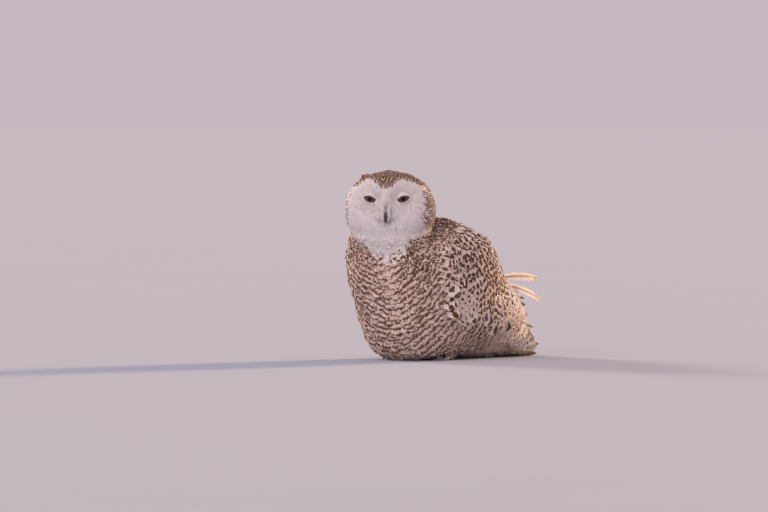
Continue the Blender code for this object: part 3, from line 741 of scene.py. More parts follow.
def feather_mesh(name, top, under, place, vane, marks, tints, patch):
    """Joins all the vanes' points and faces into one object."""
    count, rows, across = top.shape[:3]
    columns = across - 1
    middle = columns // 2
    block = rows * across + rows

    def joined(grid, line):
        size = grid.shape[-1]
        flat = [part.reshape(count, -1, size) for part in (grid, line)]
        return np.concatenate(flat, axis=1).reshape(-1, size)

    points = joined(top, under)
    points[:, 2] = np.maximum(points[:, 2], FLOOR_GAP)
    top_index = np.arange(rows * across).reshape(rows, across)
    under_index = rows * across + np.arange(rows)
    rings = np.column_stack([under_index, top_index, under_index])
    quads = [(rings[r, c], rings[r, c + 1], rings[r + 1, c + 1], rings[r + 1, c])
             for r in range(rows - 1) for c in (*range(1, across), 0, across)]
    root_cap = [*top_index[0][::-1], under_index[0]]
    tip_cap = [*top_index[-1], under_index[-1]]
    offsets = (np.arange(count) * block)[:, None]
    quad_loops = (np.array(quads).reshape(1, -1) + offsets).reshape(-1)
    caps = (np.array([root_cap, tip_cap]).reshape(1, -1) + offsets).reshape(-1)
    loops = np.concatenate([quad_loops, caps]).astype(np.int32)
    quad_count, cap_count = len(quad_loops) // 4, len(caps) // (across + 1)
    starts = np.concatenate([
        np.arange(quad_count) * 4,
        quad_count * 4 + np.arange(cap_count) * (across + 1),
    ]).astype(np.int32)
    mesh = bpy.data.meshes.new(name)
    mesh.vertices.add(len(points))
    mesh.vertices.foreach_set("co", points.astype(np.float32).ravel())
    mesh.loops.add(len(loops))
    mesh.loops.foreach_set("vertex_index", loops)
    mesh.polygons.add(len(starts))
    mesh.polygons.foreach_set("loop_start", starts)
    mesh.update(calc_edges=True)
    add_uv(mesh, joined(patch, patch[:, :, middle]), loops)
    add_vectors(mesh, "place", joined(place, place[:, :, middle]))
    add_vectors(mesh, "vane", joined(vane, vane[:, :, middle]))
    add_vectors(mesh, "marks", np.repeat(marks, block, axis=0))
    add_vectors(mesh, "tints", np.repeat(tints, block, axis=0))
    mesh.validate()
    mesh.polygons.foreach_set("use_smooth", np.ones(len(mesh.polygons), bool))
    mesh.set_sharp_from_angle(angle=math.radians(60))
    return link(name, mesh)


def link(name, mesh):
    piece = bpy.data.objects.new(name, mesh)
    bpy.context.scene.collection.objects.link(piece)
    return piece


def add_uv(mesh, per_vertex, loops):
    layer = mesh.uv_layers.new(name="OFBake")
    layer.data.foreach_set("uv", per_vertex[loops].astype(np.float32).ravel())


def add_vectors(mesh, name, values):
    layer = mesh.attributes.new(name, "FLOAT_VECTOR", "POINT")
    layer.data.foreach_set("vector", values.astype(np.float32).ravel())


def dress(piece, finish, replaced=()):
    """Gives a new piece its finish, its body and the nodes it stands for."""
    piece.data.materials.clear()
    piece.data.materials.append(finish)
    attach(piece, "root")
    if replaced:
        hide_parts(*replaced)
    return piece


# ---- Finishes ----

WHITE = (0.87, 0.82, 0.80, 1.0)
COOL_WHITE = (0.82, 0.79, 0.84, 1.0)
CREAM = (0.88, 0.69, 0.60, 1.0)
TAN = (0.72, 0.50, 0.38, 1.0)
CHOCOLATE = (0.085, 0.031, 0.014, 1.0)
UMBER = (0.150, 0.052, 0.020, 1.0)
# Olive-brown for the dark marks: at random, and as painted fold shade.
OLIVE = (0.125, 0.062, 0.016, 1.0)
# Painted light: the golden glow of low backlight through the feathers' edges.
PAINTED_RIM_GOLD = (0.95, 0.70, 0.38, 1.0)
# Painted shade: the grey brought into the face's white plumes round the bill and the eyes.
FACE_SHADE_GREY = (0.30, 0.24, 0.26, 1.0)
SHAFT = (0.42, 0.27, 0.16, 1.0)
LID_RIM = (0.030, 0.020, 0.018, 1.0)
DARK_AMBER = (0.105, 0.056, 0.009, 1.0)
AMBER = (0.215, 0.120, 0.014, 1.0)
IRIS_EDGE = (0.075, 0.042, 0.010, 1.0)
EYE_RIM = (0.015, 0.011, 0.010, 1.0)
PUPIL = (0.004, 0.003, 0.003, 1.0)
BILL_HORN = ((0.040, 0.029, 0.026, 1.0), (0.115, 0.088, 0.076, 1.0))
CLAW_HORN = ((0.012, 0.011, 0.012, 1.0), (0.06, 0.052, 0.048, 1.0))
PUPIL_EDGE, IRIS_SHADE, IRIS_END = (0.0048, 0.0038), (0.0080, 0.0104), (0.0112, 0.0120)
ROW_SPACING = 0.0115  # of the body's feathers, and so of the bars
BODY_LENGTH = 0.038
FIRST_BAR = 0.0056  # the middle of the last bar, from a feather's tip


class Wiring:
    """Adds nodes to a tree and joins them, so that a formula reads in order."""

    def __init__(self, tree):
        self.tree = tree

    def node(self, kind, **settings):
        made = self.tree.nodes.new(kind)
        for name, value in settings.items():
            setattr(made, name, value)
        return made

    def put(self, socket, value):
        if isinstance(value, bpy.types.NodeSocket):
            self.tree.links.new(value, socket)
        else:
            socket.default_value = value

    def math(self, operation, *values):
        made = self.node("ShaderNodeMath", operation=operation)
        for socket, value in zip(made.inputs, values):
            self.put(socket, value)
        return made.outputs[0]

    def total(self, *values):
        return functools.reduce(lambda a, b: self.math("ADD", a, b), values)

    def product(self, *values):
        return functools.reduce(lambda a, b: self.math("MULTIPLY", a, b), values)

    def less(self, a, b):
        return self.math("SUBTRACT", a, b)

    def size(self, value):
        return self.math("ABSOLUTE", value)

    def greatest(self, *values):
        return functools.reduce(lambda a, b: self.math("MAXIMUM", a, b), values)

    def step(self, value, low, high):
        """A soft step from 0 at low to 1 at high."""
        made = self.node("ShaderNodeMapRange", interpolation_type="SMOOTHSTEP")
        self.put(made.inputs["Value"], value)
        self.put(made.inputs["From Min"], low)
        self.put(made.inputs["From Max"], high)
        return made.outputs["Result"]

    def noise(self, vector, scale, detail=2.0):
        made = self.node("ShaderNodeTexNoise")
        self.put(made.inputs["Vector"], vector)
        self.put(made.inputs["Scale"], scale)
        self.put(made.inputs["Detail"], detail)
        return made.outputs["Fac"]

    def vector(self, x, y, z):
        made = self.node("ShaderNodeCombineXYZ")
        for socket, value in zip(made.inputs, (x, y, z)):
            self.put(socket, value)
        return made.outputs[0]

    def parts(self, vector):
        made = self.node("ShaderNodeSeparateXYZ")
        self.put(made.inputs[0], vector)
        return made.outputs[0], made.outputs[1], made.outputs[2]

    def swing(self, vector, scale, detail, height):
        """Noise that swings about zero."""
        return self.product(self.less(self.noise(vector, scale, detail), 0.5), height)

    def fringe(self, u, from_tip, seed, height):
        """How far the barbs carry a mark's edge up or down."""
        barbs = self.vector(self.product(u, 9.0), self.product(from_tip, 260.0),
                            self.product(seed, 23.0))
        return self.swing(barbs, 1.0, 2.0, height)

    def within(self, value, limit, outside, inside):
        """1 where a value is below a limit, with a soft edge from outside it to inside it."""
        return self.step(value, self.total(limit, outside), self.less(limit, inside))

    def relief(self, shader, height, strength, distance):
        """Raises the surface by a height."""
        bump = self.node("ShaderNodeBump")
        bump.inputs["Strength"].default_value = strength
        bump.inputs["Distance"].default_value = distance
        self.put(bump.inputs["Height"], height)
        self.put(shader.inputs["Normal"], bump.outputs[0])

    def attribute(self, name):
        return self.node("ShaderNodeAttribute", attribute_name=name).outputs["Vector"]

    def mix(self, factor, below, above):
        made = self.node("ShaderNodeMix", data_type="RGBA")
        self.put(made.inputs["Factor"], factor)
        self.put(made.inputs[6], below)
        self.put(made.inputs[7], above)
        return made.outputs[2]

    def group(self, tree, **values):
        made = self.node("ShaderNodeGroup", node_tree=tree)
        for name, value in values.items():
            self.put(made.inputs[name], value)
        return made.outputs


def new_group(name, inputs, output, output_kind="NodeSocketFloat"):
    """A node group with number inputs and one output. Gives its wiring, its inputs by name
    and a function that sets the output."""
    tree = bpy.data.node_groups.new(name, "ShaderNodeTree")
    for label, value in inputs.items():
        socket = tree.interface.new_socket(label, in_out="INPUT", socket_type="NodeSocketFloat")
        socket.default_value = value
    tree.interface.new_socket(output, in_out="OUTPUT", socket_type=output_kind)
    wiring = Wiring(tree)
    entry = wiring.node("NodeGroupInput")
    leave = wiring.node("NodeGroupOutput")
    return tree, wiring, entry.outputs, leave.inputs[output]


def bars_group():
    """Wavy dark bars across a feather, counted from its tip. They swell and thin out, part
    where the breaks are, and are softer towards the root than towards the tip."""
    inputs = {"Weight": 1.0, "Spacing": ROW_SPACING, "Thickness": 0.0044, "First": FIRST_BAR,
              "Breaks": 0.0}
    wave, bow, shift, fringe = 0.0078, -0.0022, 0.0022, 0.0018
    sharp, soft = 0.0008, 0.0024
    tree, w, given, mask = new_group("wavy bars", inputs, "Mask")
    u, from_tip, _ = w.parts(w.attribute("vane"))
    around, run, seed = w.parts(w.attribute("place"))
    lane = w.vector(w.total(w.product(u, 0.9), w.product(seed, 31.0)),
                    w.product(from_tip, 55.0), w.product(seed, 17.0))
    bent = w.total(from_tip, w.swing(lane, 1.6, 1.0, wave), w.product(u, u, bow),
                   w.product(w.less(seed, 0.5), shift),
                   w.fringe(u, from_tip, seed, fringe))
    offset = w.less(bent, given["First"])
    number = w.math("ROUND", w.math("DIVIDE", offset, given["Spacing"]))
    nearest = w.greatest(number, 0.0)
    beyond = w.less(offset, w.product(nearest, given["Spacing"]))
    patch = w.vector(w.product(around, 45.0), w.product(run, 60.0), seed)
    swell = w.total(0.45, w.product(w.noise(patch, 1.0, 1.0), 1.10))
    stretch = w.vector(w.product(u, 1.3), w.product(number, 5.0), w.product(seed, 41.0))
    gap = w.less(w.noise(stretch, 1.0, 1.0), given["Breaks"])
    half = w.product(given["Thickness"], 0.5, swell, w.step(given["Weight"], 0.0, 0.8),
                     w.step(gap, -0.06, 0.06))
    tip_side = w.within(w.product(beyond, -1.0), half, sharp, sharp)
    root_side = w.within(beyond, half, soft, sharp)
    w.put(mask, w.product(tip_side, root_side, w.step(given["Weight"], 0.10, 0.30)))
    return tree


def spots_group():
    """A dark spot, chevron or streak near a feather's tip, and more of them further up."""
    inputs = {"Size": 1.0, "First": 0.0054, "Again": 0.0150}
    height, more_height, width, more_width = 0.0029, 0.0020, 0.0056, 0.0036
    unevenness, early_by, soft_height, soft_width = 0.0034, 0.0040, 0.0005, 0.0006
    tree, w, given, mask = new_group("tip spots", inputs, "Mask")
    u, from_tip, half_width = w.parts(w.attribute("vane"))
    _, _, seed = w.parts(w.attribute("place"))
    second = w.math("FRACT", w.product(seed, 7.31))
    third = w.math("FRACT", w.product(seed, 17.77))
    lane = w.vector(w.total(u, w.product(seed, 31.0)), w.product(from_tip, 160.0), seed)
    aside = w.total(w.product(w.size(u), half_width),
                    w.swing(lane, 2.0, 2.0, unevenness))
    slope = w.total(0.15, w.product(second, 0.9))
    early = w.total(from_tip, w.product(w.less(0.5, third), early_by),
                    w.fringe(u, from_tip, seed, unevenness))
    offset = w.less(early, w.total(given["First"], w.product(aside, slope)))
    number = w.greatest(w.math("ROUND", w.math("DIVIDE", offset, given["Again"])), 0.0)
    distance = w.size(w.less(offset, w.product(number, given["Again"])))
    streaked = w.step(w.math("FRACT", w.product(seed, 3.77)), 0.50, 0.80)
    tall = w.product(given["Size"], w.total(height, w.product(third, more_height)),
                     w.total(1.0, w.product(streaked, 0.55)))
    wide = w.product(given["Size"], w.total(width, w.product(second, more_width)),
                     w.total(1.0, w.product(streaked, -0.50)))
    taper = w.less(1.15, w.product(0.75, w.math("DIVIDE", aside, wide)))
    mark = w.product(
        w.within(distance, w.product(tall, taper), soft_height, soft_height),
        w.within(aside, wide, soft_width, soft_width),
        w.step(given["Size"], 0.15, 0.35),
    )
    w.put(mask, mark)
    return tree


def speckle_group():
    """A dark middle on a small feather, where the weight is above the feather's own chance."""
    tree, w, given, mask = new_group("crown speckle", {"Weight": 1.0}, "Mask")
    u, from_tip, _ = w.parts(w.attribute("vane"))
    _, _, seed = w.parts(w.attribute("place"))
    middle = w.step(w.size(u), 1.0, 0.5)
    band = w.product(w.step(from_tip, 0.0002, 0.0016), w.step(from_tip, 0.0085, 0.0055))
    chance = w.step(w.less(w.product(given["Weight"], 1.04), seed), -0.04, 0.04)
    w.put(mask, w.product(middle, band, chance))
    return tree


def barbs_group():
    """The fine slanting ridges of the barbs, and the shaft between them, as a height."""
    tree, w, given, height = new_group("barb ridges", {"Pitch": 0.0011}, "Height")
    u, from_tip, half_width = w.parts(w.attribute("vane"))
    _, _, seed = w.parts(w.attribute("place"))
    aside = w.product(w.size(u), half_width)
    slant = w.total(from_tip, w.product(aside, -1.4))
    ridges = w.math("SINE", w.product(w.math("DIVIDE", slant, given["Pitch"]), TAU))
    strands = w.vector(w.product(aside, 200.0), w.product(slant, 900.0), w.product(seed, 9.0))
    clumps = w.noise(strands, 1.0, 2.0)
    shaft = w.step(aside, 0.0007, 0.0002)
    w.put(height, w.total(w.product(ridges, 0.25), clumps, shaft))
    return tree


GROUPS = {
    "bars": bars_group(),
    "spots": spots_group(),
    "speckle": speckle_group(),
    "barbs": barbs_group(),
}


def new_finish(name, roughness, **settings):
    """A material and its wiring. The settings are the shader's values that are the same all
    over it, named as its sockets with underscores."""
    finish = bpy.data.materials.new(name)
    finish.use_nodes = True
    shader = finish.node_tree.nodes["Principled BSDF"]
    shader.inputs["Roughness"].default_value = roughness
    for socket, value in settings.items():
        shader.inputs[socket.replace("_", " ")].default_value = value
    return finish, Wiring(finish.node_tree), shader


def plumage(name, spacing=ROW_SPACING, bar=0.0050, first=FIRST_BAR, breaks=0.0, relief=0.35,
            shaft=0.15, shaft_half=0.0011, painted_light_colour=PAINTED_RIM_GOLD, mark=CHOCOLATE, **settings):
    """The feathers' finish: white to cream to tan, with the three kinds of dark marks. The
    third tint brings in painted light, most at the vane's edges: a painted golden rim glow of
    backlight through the feathers, or, on the white face, painted grey shade."""
    finish, w, shader = new_finish(
        name, 0.82, Specular_IOR_Level=0.15, Sheen_Weight=0.12, Sheen_Roughness=0.45,
        Sheen_Tint=(1.0, 0.93, 0.88, 1.0), **settings)
    bars, spots, speckle = w.parts(w.attribute("marks"))
    warmth, olive, painted_light = w.parts(w.attribute("tints"))
    place = w.attribute("place")
    _, _, seed = w.parts(place)
    u, _, half_width = w.parts(w.attribute("vane"))
    # Bars widen with the olive share, which includes painted fold shade.
    thickness = w.product(bar, w.total(1.0, w.product(olive, 0.9)))
    barred = w.group(GROUPS["bars"], Weight=bars, Spacing=spacing, Thickness=thickness, First=first,
                     Breaks=breaks)
    spotted = w.group(GROUPS["spots"], Size=spots)
    speckled = w.group(GROUPS["speckle"], Weight=speckle)
    cloud = w.noise(place, 26.0, 3.0)
    ground = w.mix(w.step(cloud, 0.35, 0.70), WHITE, COOL_WHITE)
    blotched = w.total(warmth, w.product(w.less(cloud, 0.5), 0.6, warmth))
    ground = w.mix(w.step(blotched, 0.0, 0.5), ground, CREAM)
    ground = w.mix(w.step(blotched, 0.4, 1.1), ground, TAN)
    # Painted light: the third tint mixes in the painted light colour, stronger towards the vane's
    # edges, as a glowing rim.
    edge = w.step(w.size(u), 0.35, 0.95)
    ground = w.mix(w.product(painted_light, w.total(0.20, w.product(edge, 0.45))), ground, painted_light_colour)
    off_shaft = w.product(w.size(u), half_width)
    near_shaft = w.step(off_shaft, shaft_half, shaft_half * 0.35)
    ground = w.mix(w.product(near_shaft, shaft), ground, SHAFT)
    barb_height = w.group(GROUPS["barbs"])["Height"]
    strands = w.step(barb_height, 0.20, 0.85)
    tint = w.node("ShaderNodeHueSaturation")
    w.put(tint.inputs["Color"], ground)
    w.put(tint.inputs["Value"], w.total(0.87, w.product(seed, 0.12), w.product(strands, 0.10)))
    # Dark marks turn olive at random and with the olive share, partly painted fold shade.
    dark = w.mix(w.math("MINIMUM", w.total(olive, w.product(seed, 0.25)), 1.0), mark, OLIVE)
    mask = w.greatest(barred["Mask"], spotted["Mask"], speckled["Mask"])
    strength = w.product(mask, w.total(0.70, w.product(w.noise(place, 140.0, 1.0), 0.36),
                                       w.product(strands, 0.20)))
    coloured = w.mix(w.math("MINIMUM", strength, 1.0), tint.outputs[0], dark)
    w.put(shader.inputs["Base Color"], coloured)
    w.put(shader.inputs["Roughness"], w.total(0.78, w.product(cloud, 0.14)))
    w.relief(shader, barb_height, relief, 0.0003)
    return finish


def skin_finish():
    """Bare skin under down, with the coat's own bars, spots and crown, and dark eyelid rims."""
    finish, w, shader = new_finish("downy_skin", 0.85)
    bars, spots, speckle = w.parts(w.attribute("marks"))
    warmth, olive, rim = w.parts(w.attribute("tints"))
    place = w.attribute("place")
    around, run, _ = w.parts(place)
    barred = w.group(GROUPS["bars"], Weight=bars)
    dots = w.node("ShaderNodeTexVoronoi", voronoi_dimensions="2D")
    w.put(dots.inputs["Vector"], w.vector(around, run, 0.0))
    dots.inputs["Scale"].default_value = 85.0
    spotted = w.product(w.step(dots.outputs["Distance"], 0.30, 0.22), w.step(spots, 0.2, 0.6))
    speckled = w.product(w.step(w.noise(place, 260.0, 2.0), 0.46, 0.54), speckle)
    cloud = w.noise(place, 40.0, 3.0)
    ground = w.mix(w.step(warmth, 0.0, 0.5), WHITE, CREAM)
    ground = w.mix(w.product(w.step(warmth, 0.4, 1.1), w.total(0.5, cloud)), ground, TAN)
    # Marks turn olive with the olive share, which includes painted fold shade.
    dark = w.mix(olive, CHOCOLATE, OLIVE)
    mask = w.greatest(barred["Mask"], spotted, speckled)
    coloured = w.mix(w.product(mask, 0.9), ground, dark)
    w.put(shader.inputs["Base Color"], w.mix(rim, coloured, LID_RIM))
    w.put(shader.inputs["Roughness"], w.total(0.75, w.product(cloud, 0.2)))
    w.relief(shader, w.noise(place, 900.0, 2.0), 0.5, 0.0005)
    return finish


def eye_finish():
    """An amber iris with a dark ring round it, a black pupil, and a wet clear coat."""
    finish, w, shader = new_finish("amber_eye", 0.10, Specular_IOR_Level=0.12, Coat_Weight=0.08,
                                   Coat_Roughness=0.03)
    radius, turn, _ = w.parts(w.attribute("iris"))
    spoke = w.vector(w.product(w.math("COSINE", turn), 9.0), w.product(w.math("SINE", turn), 9.0),
                     w.product(radius, 200.0))
    streaks = w.noise(spoke, 1.0, 3.0)
    colour = w.mix(w.step(streaks, 0.30, 0.70), DARK_AMBER, AMBER)
    for (inner, outer), ring in ((IRIS_SHADE, IRIS_EDGE), (IRIS_END, EYE_RIM), (PUPIL_EDGE, PUPIL)):
        colour = w.mix(w.step(radius, inner, outer), colour, ring)
    w.put(shader.inputs["Base Color"], colour)
    w.put(shader.inputs["Roughness"], w.total(0.06, w.product(streaks, 0.08)))
    return finish


def horn_finish(name, dark, light, axis_scale):
    """Claw and bill horn: near black, paler and rougher where growth lines cross it."""
    finish, w, shader = new_finish(name, 0.3, Coat_Weight=0.08, Coat_Roughness=0.3)
    where = w.node("ShaderNodeTexCoord").outputs["Object"]
    lines = w.noise(where, axis_scale, 4.0)
    fine = w.noise(where, axis_scale * 6, 2.0)
    w.put(shader.inputs["Base Color"], w.mix(w.step(lines, 0.40, 0.75), dark, light))
    w.put(shader.inputs["Roughness"], w.total(0.34, w.product(fine, 0.22)))
    w.relief(shader, lines, 0.25, 0.0002)
    return finish


# ---- The skin, with its eyelids ----

SKIN_DEPTH = 0.0028  # of the coat over the skin, on the head; the body's is deeper
SKIN_DEPTH_BODY = 0.0075
SKIN_DEEPENS = (5.5, 8.0)
SKIN_LEAVES_WINGS = (12.4, 14.4)
SKIN_ROUNDS_FROM, SKIN_END = 14.0, 16.4
SKIN_FLOOR = 0.004
SKIN_RINGS, SKIN_POINTS = 170, 120
SKIN_VOXEL = 0.0028
SKIN_BARS_TO_SPARE = 200


def plain_mesh(name, points, faces):
    mesh = bpy.data.meshes.new(name)
    mesh.from_pydata([tuple(p) for p in points], [], faces)
    mesh.update()
    return mesh


def ring_faces(rings, points, close_ends=True, loop=False):
    """Quads between rings of points, one after the other."""
    faces = []
    for r in range(rings if loop else rings - 1):
        nxt = (r + 1) % rings
        for i in range(points):
            j = (i + 1) % points
            faces.append((r * points + i, r * points + j, nxt * points + j, nxt * points + i))
    if close_ends:
        faces.append(tuple(range(points))[::-1])
        faces.append(tuple((rings - 1) * points + i for i in range(points)))
    return faces


def hollow_height(x, y):
    """The height of the room over the toes, at a place on the floor; 0 outside it."""
    centre_y = TOE_HOLLOW[1] + SHIFT[1]
    far = ((np.abs(x) - TOE_HOLLOW[0]) / TOE_HOLLOW_HALF[0]) ** 2
    far = far + ((y - centre_y) / TOE_HOLLOW_HALF[1]) ** 2
    return TOE_HOLLOW_HALF[2] * np.sqrt(np.clip(1 - far, 0, 1))


def body_skin():
    """The body without its coat: the coat's form drawn in, rounded off over the tail."""
    stations = np.linspace(CROWN_CAP + 0.03, SKIN_END, SKIN_RINGS)
    angles = np.arange(SKIN_POINTS) * TAU / SKIN_POINTS
    s, a = np.meshgrid(stations, angles, indexing="ij")
    outside = coat_points(s, a, wings=1 - smoothstep(*SKIN_LEAVES_WINGS, s)) + SHIFT
    depth = SKIN_DEPTH + (SKIN_DEPTH_BODY - SKIN_DEPTH) * smoothstep(*SKIN_DEEPENS, s)
    inside = outside - coat.at(s, a)["normal"] * depth[..., None]
    share = np.clip((s - SKIN_ROUNDS_FROM) / (SKIN_END + 0.1 - SKIN_ROUNDS_FROM), 0, 1)
    size = 0.08 + 0.92 * np.sqrt(1 - share**3.2)
    middle = inside.mean(axis=1, keepdims=True)
    inside = middle + (inside - middle) * size[..., None]
    room = hollow_height(inside[..., 0], inside[..., 1]) + 0.001
    inside[..., 2] = np.maximum(inside[..., 2], np.maximum(room, SKIN_FLOOR))
    return plain_mesh("body_skin", inside.reshape(-1, 3), ring_faces(SKIN_RINGS, SKIN_POINTS))


def fused(meshes):
    """One closed skin from overlapping closed meshes."""
    bm = bmesh.new()
    for mesh in meshes:
        bm.from_mesh(mesh)
    merged = bpy.data.meshes.new("fused")
    bm.to_mesh(merged)
    bm.free()
    holder = link("fused", merged)
    remesh = holder.modifiers.new("remesh", "REMESH")
    remesh.mode = "VOXEL"
    remesh.voxel_size = SKIN_VOXEL
    smooth = holder.modifiers.new("smooth", "SMOOTH")
    smooth.iterations = 4
    smooth.factor = 0.5
    graph = bpy.context.evaluated_depsgraph_get()
    made = bpy.data.meshes.new_from_object(holder.evaluated_get(graph))
    bpy.data.objects.remove(holder, do_unlink=True)
    return made


EYE_NODES = ("eye_left", "eye_right")
LID_HALF_WIDTH = 0.0104
LID_UPPER, LID_LOWER = 0.0032, 0.0051
LID_STAND = 0.0010  # of the lids off the globe
LID_TILT = math.radians(13)
LID_END = math.radians(74)
LID_POINTS = 48
LID_LOWER_BOW = 1.25
LID_BROW_RISE = 0.0005
LID_RIM_SHARES = (0.17, 0.10)
# Round a lid's section from its rim: the share of the way over the globe to the lid's end,
# and the height over the globe.
LID_SECTION = (
    (0.00, 0.0001), (0.00, 0.0007), (0.04, LID_STAND), (0.14, LID_STAND), (0.30, LID_STAND),
    (0.60, 0.0008), (1.00, 0.0006), (1.00, 0.0001), (0.50, 0.0001),
)


def eye_frame(node):
    """An eye's centre, radius, gaze, the way out from the bill, and up."""
    low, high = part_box(node)
    centre = np.array((low + high) / 2)
    radius = (high.z - low.z) / 2
    outward = 1 if node.endswith("left") else -1
    aim = HEAD_TURN + math.radians(4 * outward)
    gaze = np.array([math.sin(aim), -math.cos(aim), 0.0])
    aside = np.array([math.cos(aim), math.sin(aim), 0.0]) * outward
    return centre, radius, gaze, aside, np.array([0.0, 0.0, 1.0])


def globe_direction(bend, turn, gaze, aside, up):
    """The way out of an eye's globe, by the bend away from its gaze and the turn about it."""
    across = np.cos(turn)[..., None] * aside + np.sin(turn)[..., None] * up
    return np.sin(bend)[..., None] * across + np.cos(bend)[..., None] * gaze


def lid_mesh(node):
    """Both eyelids of an eye as one thin shell with a slanting almond opening."""
    centre, radius, *axes = eye_frame(node)
    phi = np.arange(LID_POINTS) * TAU / LID_POINTS
    upper = np.sin(phi) > 0
    height = np.where(upper, LID_UPPER, LID_LOWER)
    bow = np.where(upper, 1.0, LID_LOWER_BOW)
    x = LID_HALF_WIDTH * np.cos(phi)
    z = height * np.sign(np.sin(phi)) * np.abs(np.sin(phi)) ** bow + math.tan(LID_TILT) * x
    opening = np.arcsin(np.clip(np.hypot(x, z) / radius, 0, 0.97))
    azimuth = np.arctan2(z, x)
    brow = np.clip(np.sin(azimuth), 0, 1)
    rings = []
    for share, stand in LID_SECTION:
        bend = opening + (LID_END - opening) * share
        out = stand + LID_BROW_RISE * brow * (stand > 0.0005)
        rings.append(centre + globe_direction(bend, azimuth, *axes) * (radius + out)[:, None])
    faces = ring_faces(len(LID_SECTION), LID_POINTS, close_ends=False, loop=True)
    shares = np.repeat([share for share, _ in LID_SECTION], LID_POINTS)
    return plain_mesh("lids", np.concatenate(rings), faces), shares


def make_skin(finish):
    """One skin over the whole owl, in place of every solid of flesh."""
    limbs = [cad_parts[f"{part}_{side}"].data for part in ("leg", "foot")
             for side in ("left", "right")]
    body = fused([body_skin()] + limbs)
    lids = [lid_mesh(node) for node in EYE_NODES]
    bm = bmesh.new()
    bm.from_mesh(body)
    body_count = len(bm.verts)
    for mesh, _ in lids:
        bm.from_mesh(mesh)
    bmesh.ops.recalc_face_normals(bm, faces=bm.faces)
    mesh = bpy.data.meshes.new("skin")
    bm.to_mesh(mesh)
    bm.free()
    mesh.shade_smooth()
    rims = np.zeros(len(mesh.vertices))
    rims[body_count:] = smoothstep(*LID_RIM_SHARES, np.concatenate([shares for _, shares in lids]))
    mark_skin(mesh, rims)
    skin = link("skin", mesh)
    flesh = ["head", "neck", "trunk"]
    for side in ("left", "right"):
        flesh += [f"{part}_{side}" for part in ("wing", "leg", "foot")]
    return dress(skin, finish, flesh)


def coat_place(points):
    """The station and angle on the coat nearest to each point."""
    tree = KDTree(coat.channels.shape[0] * coat.COLUMNS)
    grid = coat.channels[..., :3].reshape(-1, 3)
    for index, point in enumerate(grid.tolist()):
        tree.insert(point, index)
    tree.balance()
    nearest = np.array([tree.find(point)[1] for point in points.tolist()])
    s = coat.stations[nearest // coat.COLUMNS]
    a = coat.angles[nearest % coat.COLUMNS]
    here = coat.at(s, a)
    gone = points - here["point"]
    gone -= here["normal"] * dot(gone, here["normal"])[:, None]
    return coat.move(s, a, here, gone)


def mesh_points(mesh):
    points = np.empty(len(mesh.vertices) * 3, np.float32)
    mesh.vertices.foreach_get("co", points)
    return points.reshape(-1, 3).astype(float)


def mark_skin(mesh, rims):
    """Gives the skin the coat's marks and an unwrap by angle and station."""
    points = mesh_points(mesh)
    s, a = coat_place(points)
    here = coat.at(s, a)
    marks, tints = marks_at(s, a, here["point"])
    tints[:, 2] = rims
    around = (a % TAU - math.pi) * ring_radius(s)
    from_tip = BODY_LENGTH + SKIN_BARS_TO_SPARE * ROW_SPACING - here["run"]
    add_vectors(mesh, "place", side_by_side(s.shape, around, here["run"], 0.5))
    add_vectors(mesh, "vane", side_by_side(s.shape, 0.0, from_tip, 0.01))
    add_vectors(mesh, "marks", marks)
    add_vectors(mesh, "tints", tints)
    loops = np.empty(len(mesh.loops), np.int32)
    mesh.loops.foreach_get("vertex_index", loops)
    starts = np.empty(len(mesh.polygons), np.int32)
    mesh.polygons.foreach_get("loop_start", starts)
    sizes = np.diff(np.append(starts, len(loops)))
    lead = np.repeat(a[loops[starts]] % TAU, sizes)
    angle = lead + from_back(a[loops] - lead)
    x, y, z = points[loops].T
    feet = z < hollow_height(x, y) - 0.001
    u = np.where(feet, 0.5 + x * 4, UV_MARGIN + UV_SPAN * angle / TAU)
    down = (s[loops] - CROWN_CAP) / (UV_END - CROWN_CAP)
    v = np.where(feet, 0.93 + (y + 0.06) * 0.8, UV_MARGIN + UV_SPAN_BODY * down)
    layer = mesh.uv_layers.new(name="OFBake")
    uv = np.clip(np.stack([u, v], axis=-1), *UV_LIMITS)
    layer.data.foreach_set("uv", uv.astype(np.float32).ravel())


# ---- Eyes and bill ----


EYE_RINGS, EYE_POINTS = 40, 56
POLE = 0.001  # how near to a pole of the globe the rings start, in radians
GLOBE_INSET = 0.0002
CORNEA_RISE, CORNEA_EDGE = 0.0005, (0.009, 0.003)


def make_eye(node, finish):
    """A fine globe with a cornea that stands out a little over the iris."""
    centre, radius, *axes = eye_frame(node)
    bends = np.linspace(POLE, math.pi - POLE, EYE_RINGS)
    turns = np.arange(EYE_POINTS) * TAU / EYE_POINTS
    bend, turn = np.meshgrid(bends, turns, indexing="ij")
    bulge = CORNEA_RISE * smoothstep(*CORNEA_EDGE, radius * np.sin(bend)) * (bend < 1.5)
    reach = radius - GLOBE_INSET + bulge
    points = centre + globe_direction(bend, turn, *axes) * reach[..., None]
    mesh = plain_mesh(node, points.reshape(-1, 3), ring_faces(EYE_RINGS, EYE_POINTS))
    iris = radius * np.where(bend < math.pi / 2, np.sin(bend), 1.0)
    add_vectors(mesh, "iris", np.stack([iris, turn, bend], axis=-1).reshape(-1, 3))
    mesh.shade_smooth()
    return dress(link(f"globe_{node}", mesh), finish, [node])


BILL_LENGTH = 0.034
BILL_DROP = 0.64
BILL_HALF_WIDTH = 0.0046
BILL_TALLER = 1.35  # than it is wide
BILL_SINK = 0.006
BILL_BEND = (18, 84)  # degrees down at the root, and how many more by the tip
BILL_KEEL, BILL_PINCH = 0.10, 0.22
BILL_RINGS, BILL_POINTS = 26, 28
FACE_RINGS = slice(20, 140)  # the coat's rings from the crown to the throat


def face_front(z):
    """How far forward the middle of the face is at a height, in the head's frame."""
    _, y, heights = head_place(coat.channels[FACE_RINGS, coat.COLUMNS // 2, :3])
    return float(np.interp(-z, -heights, y))


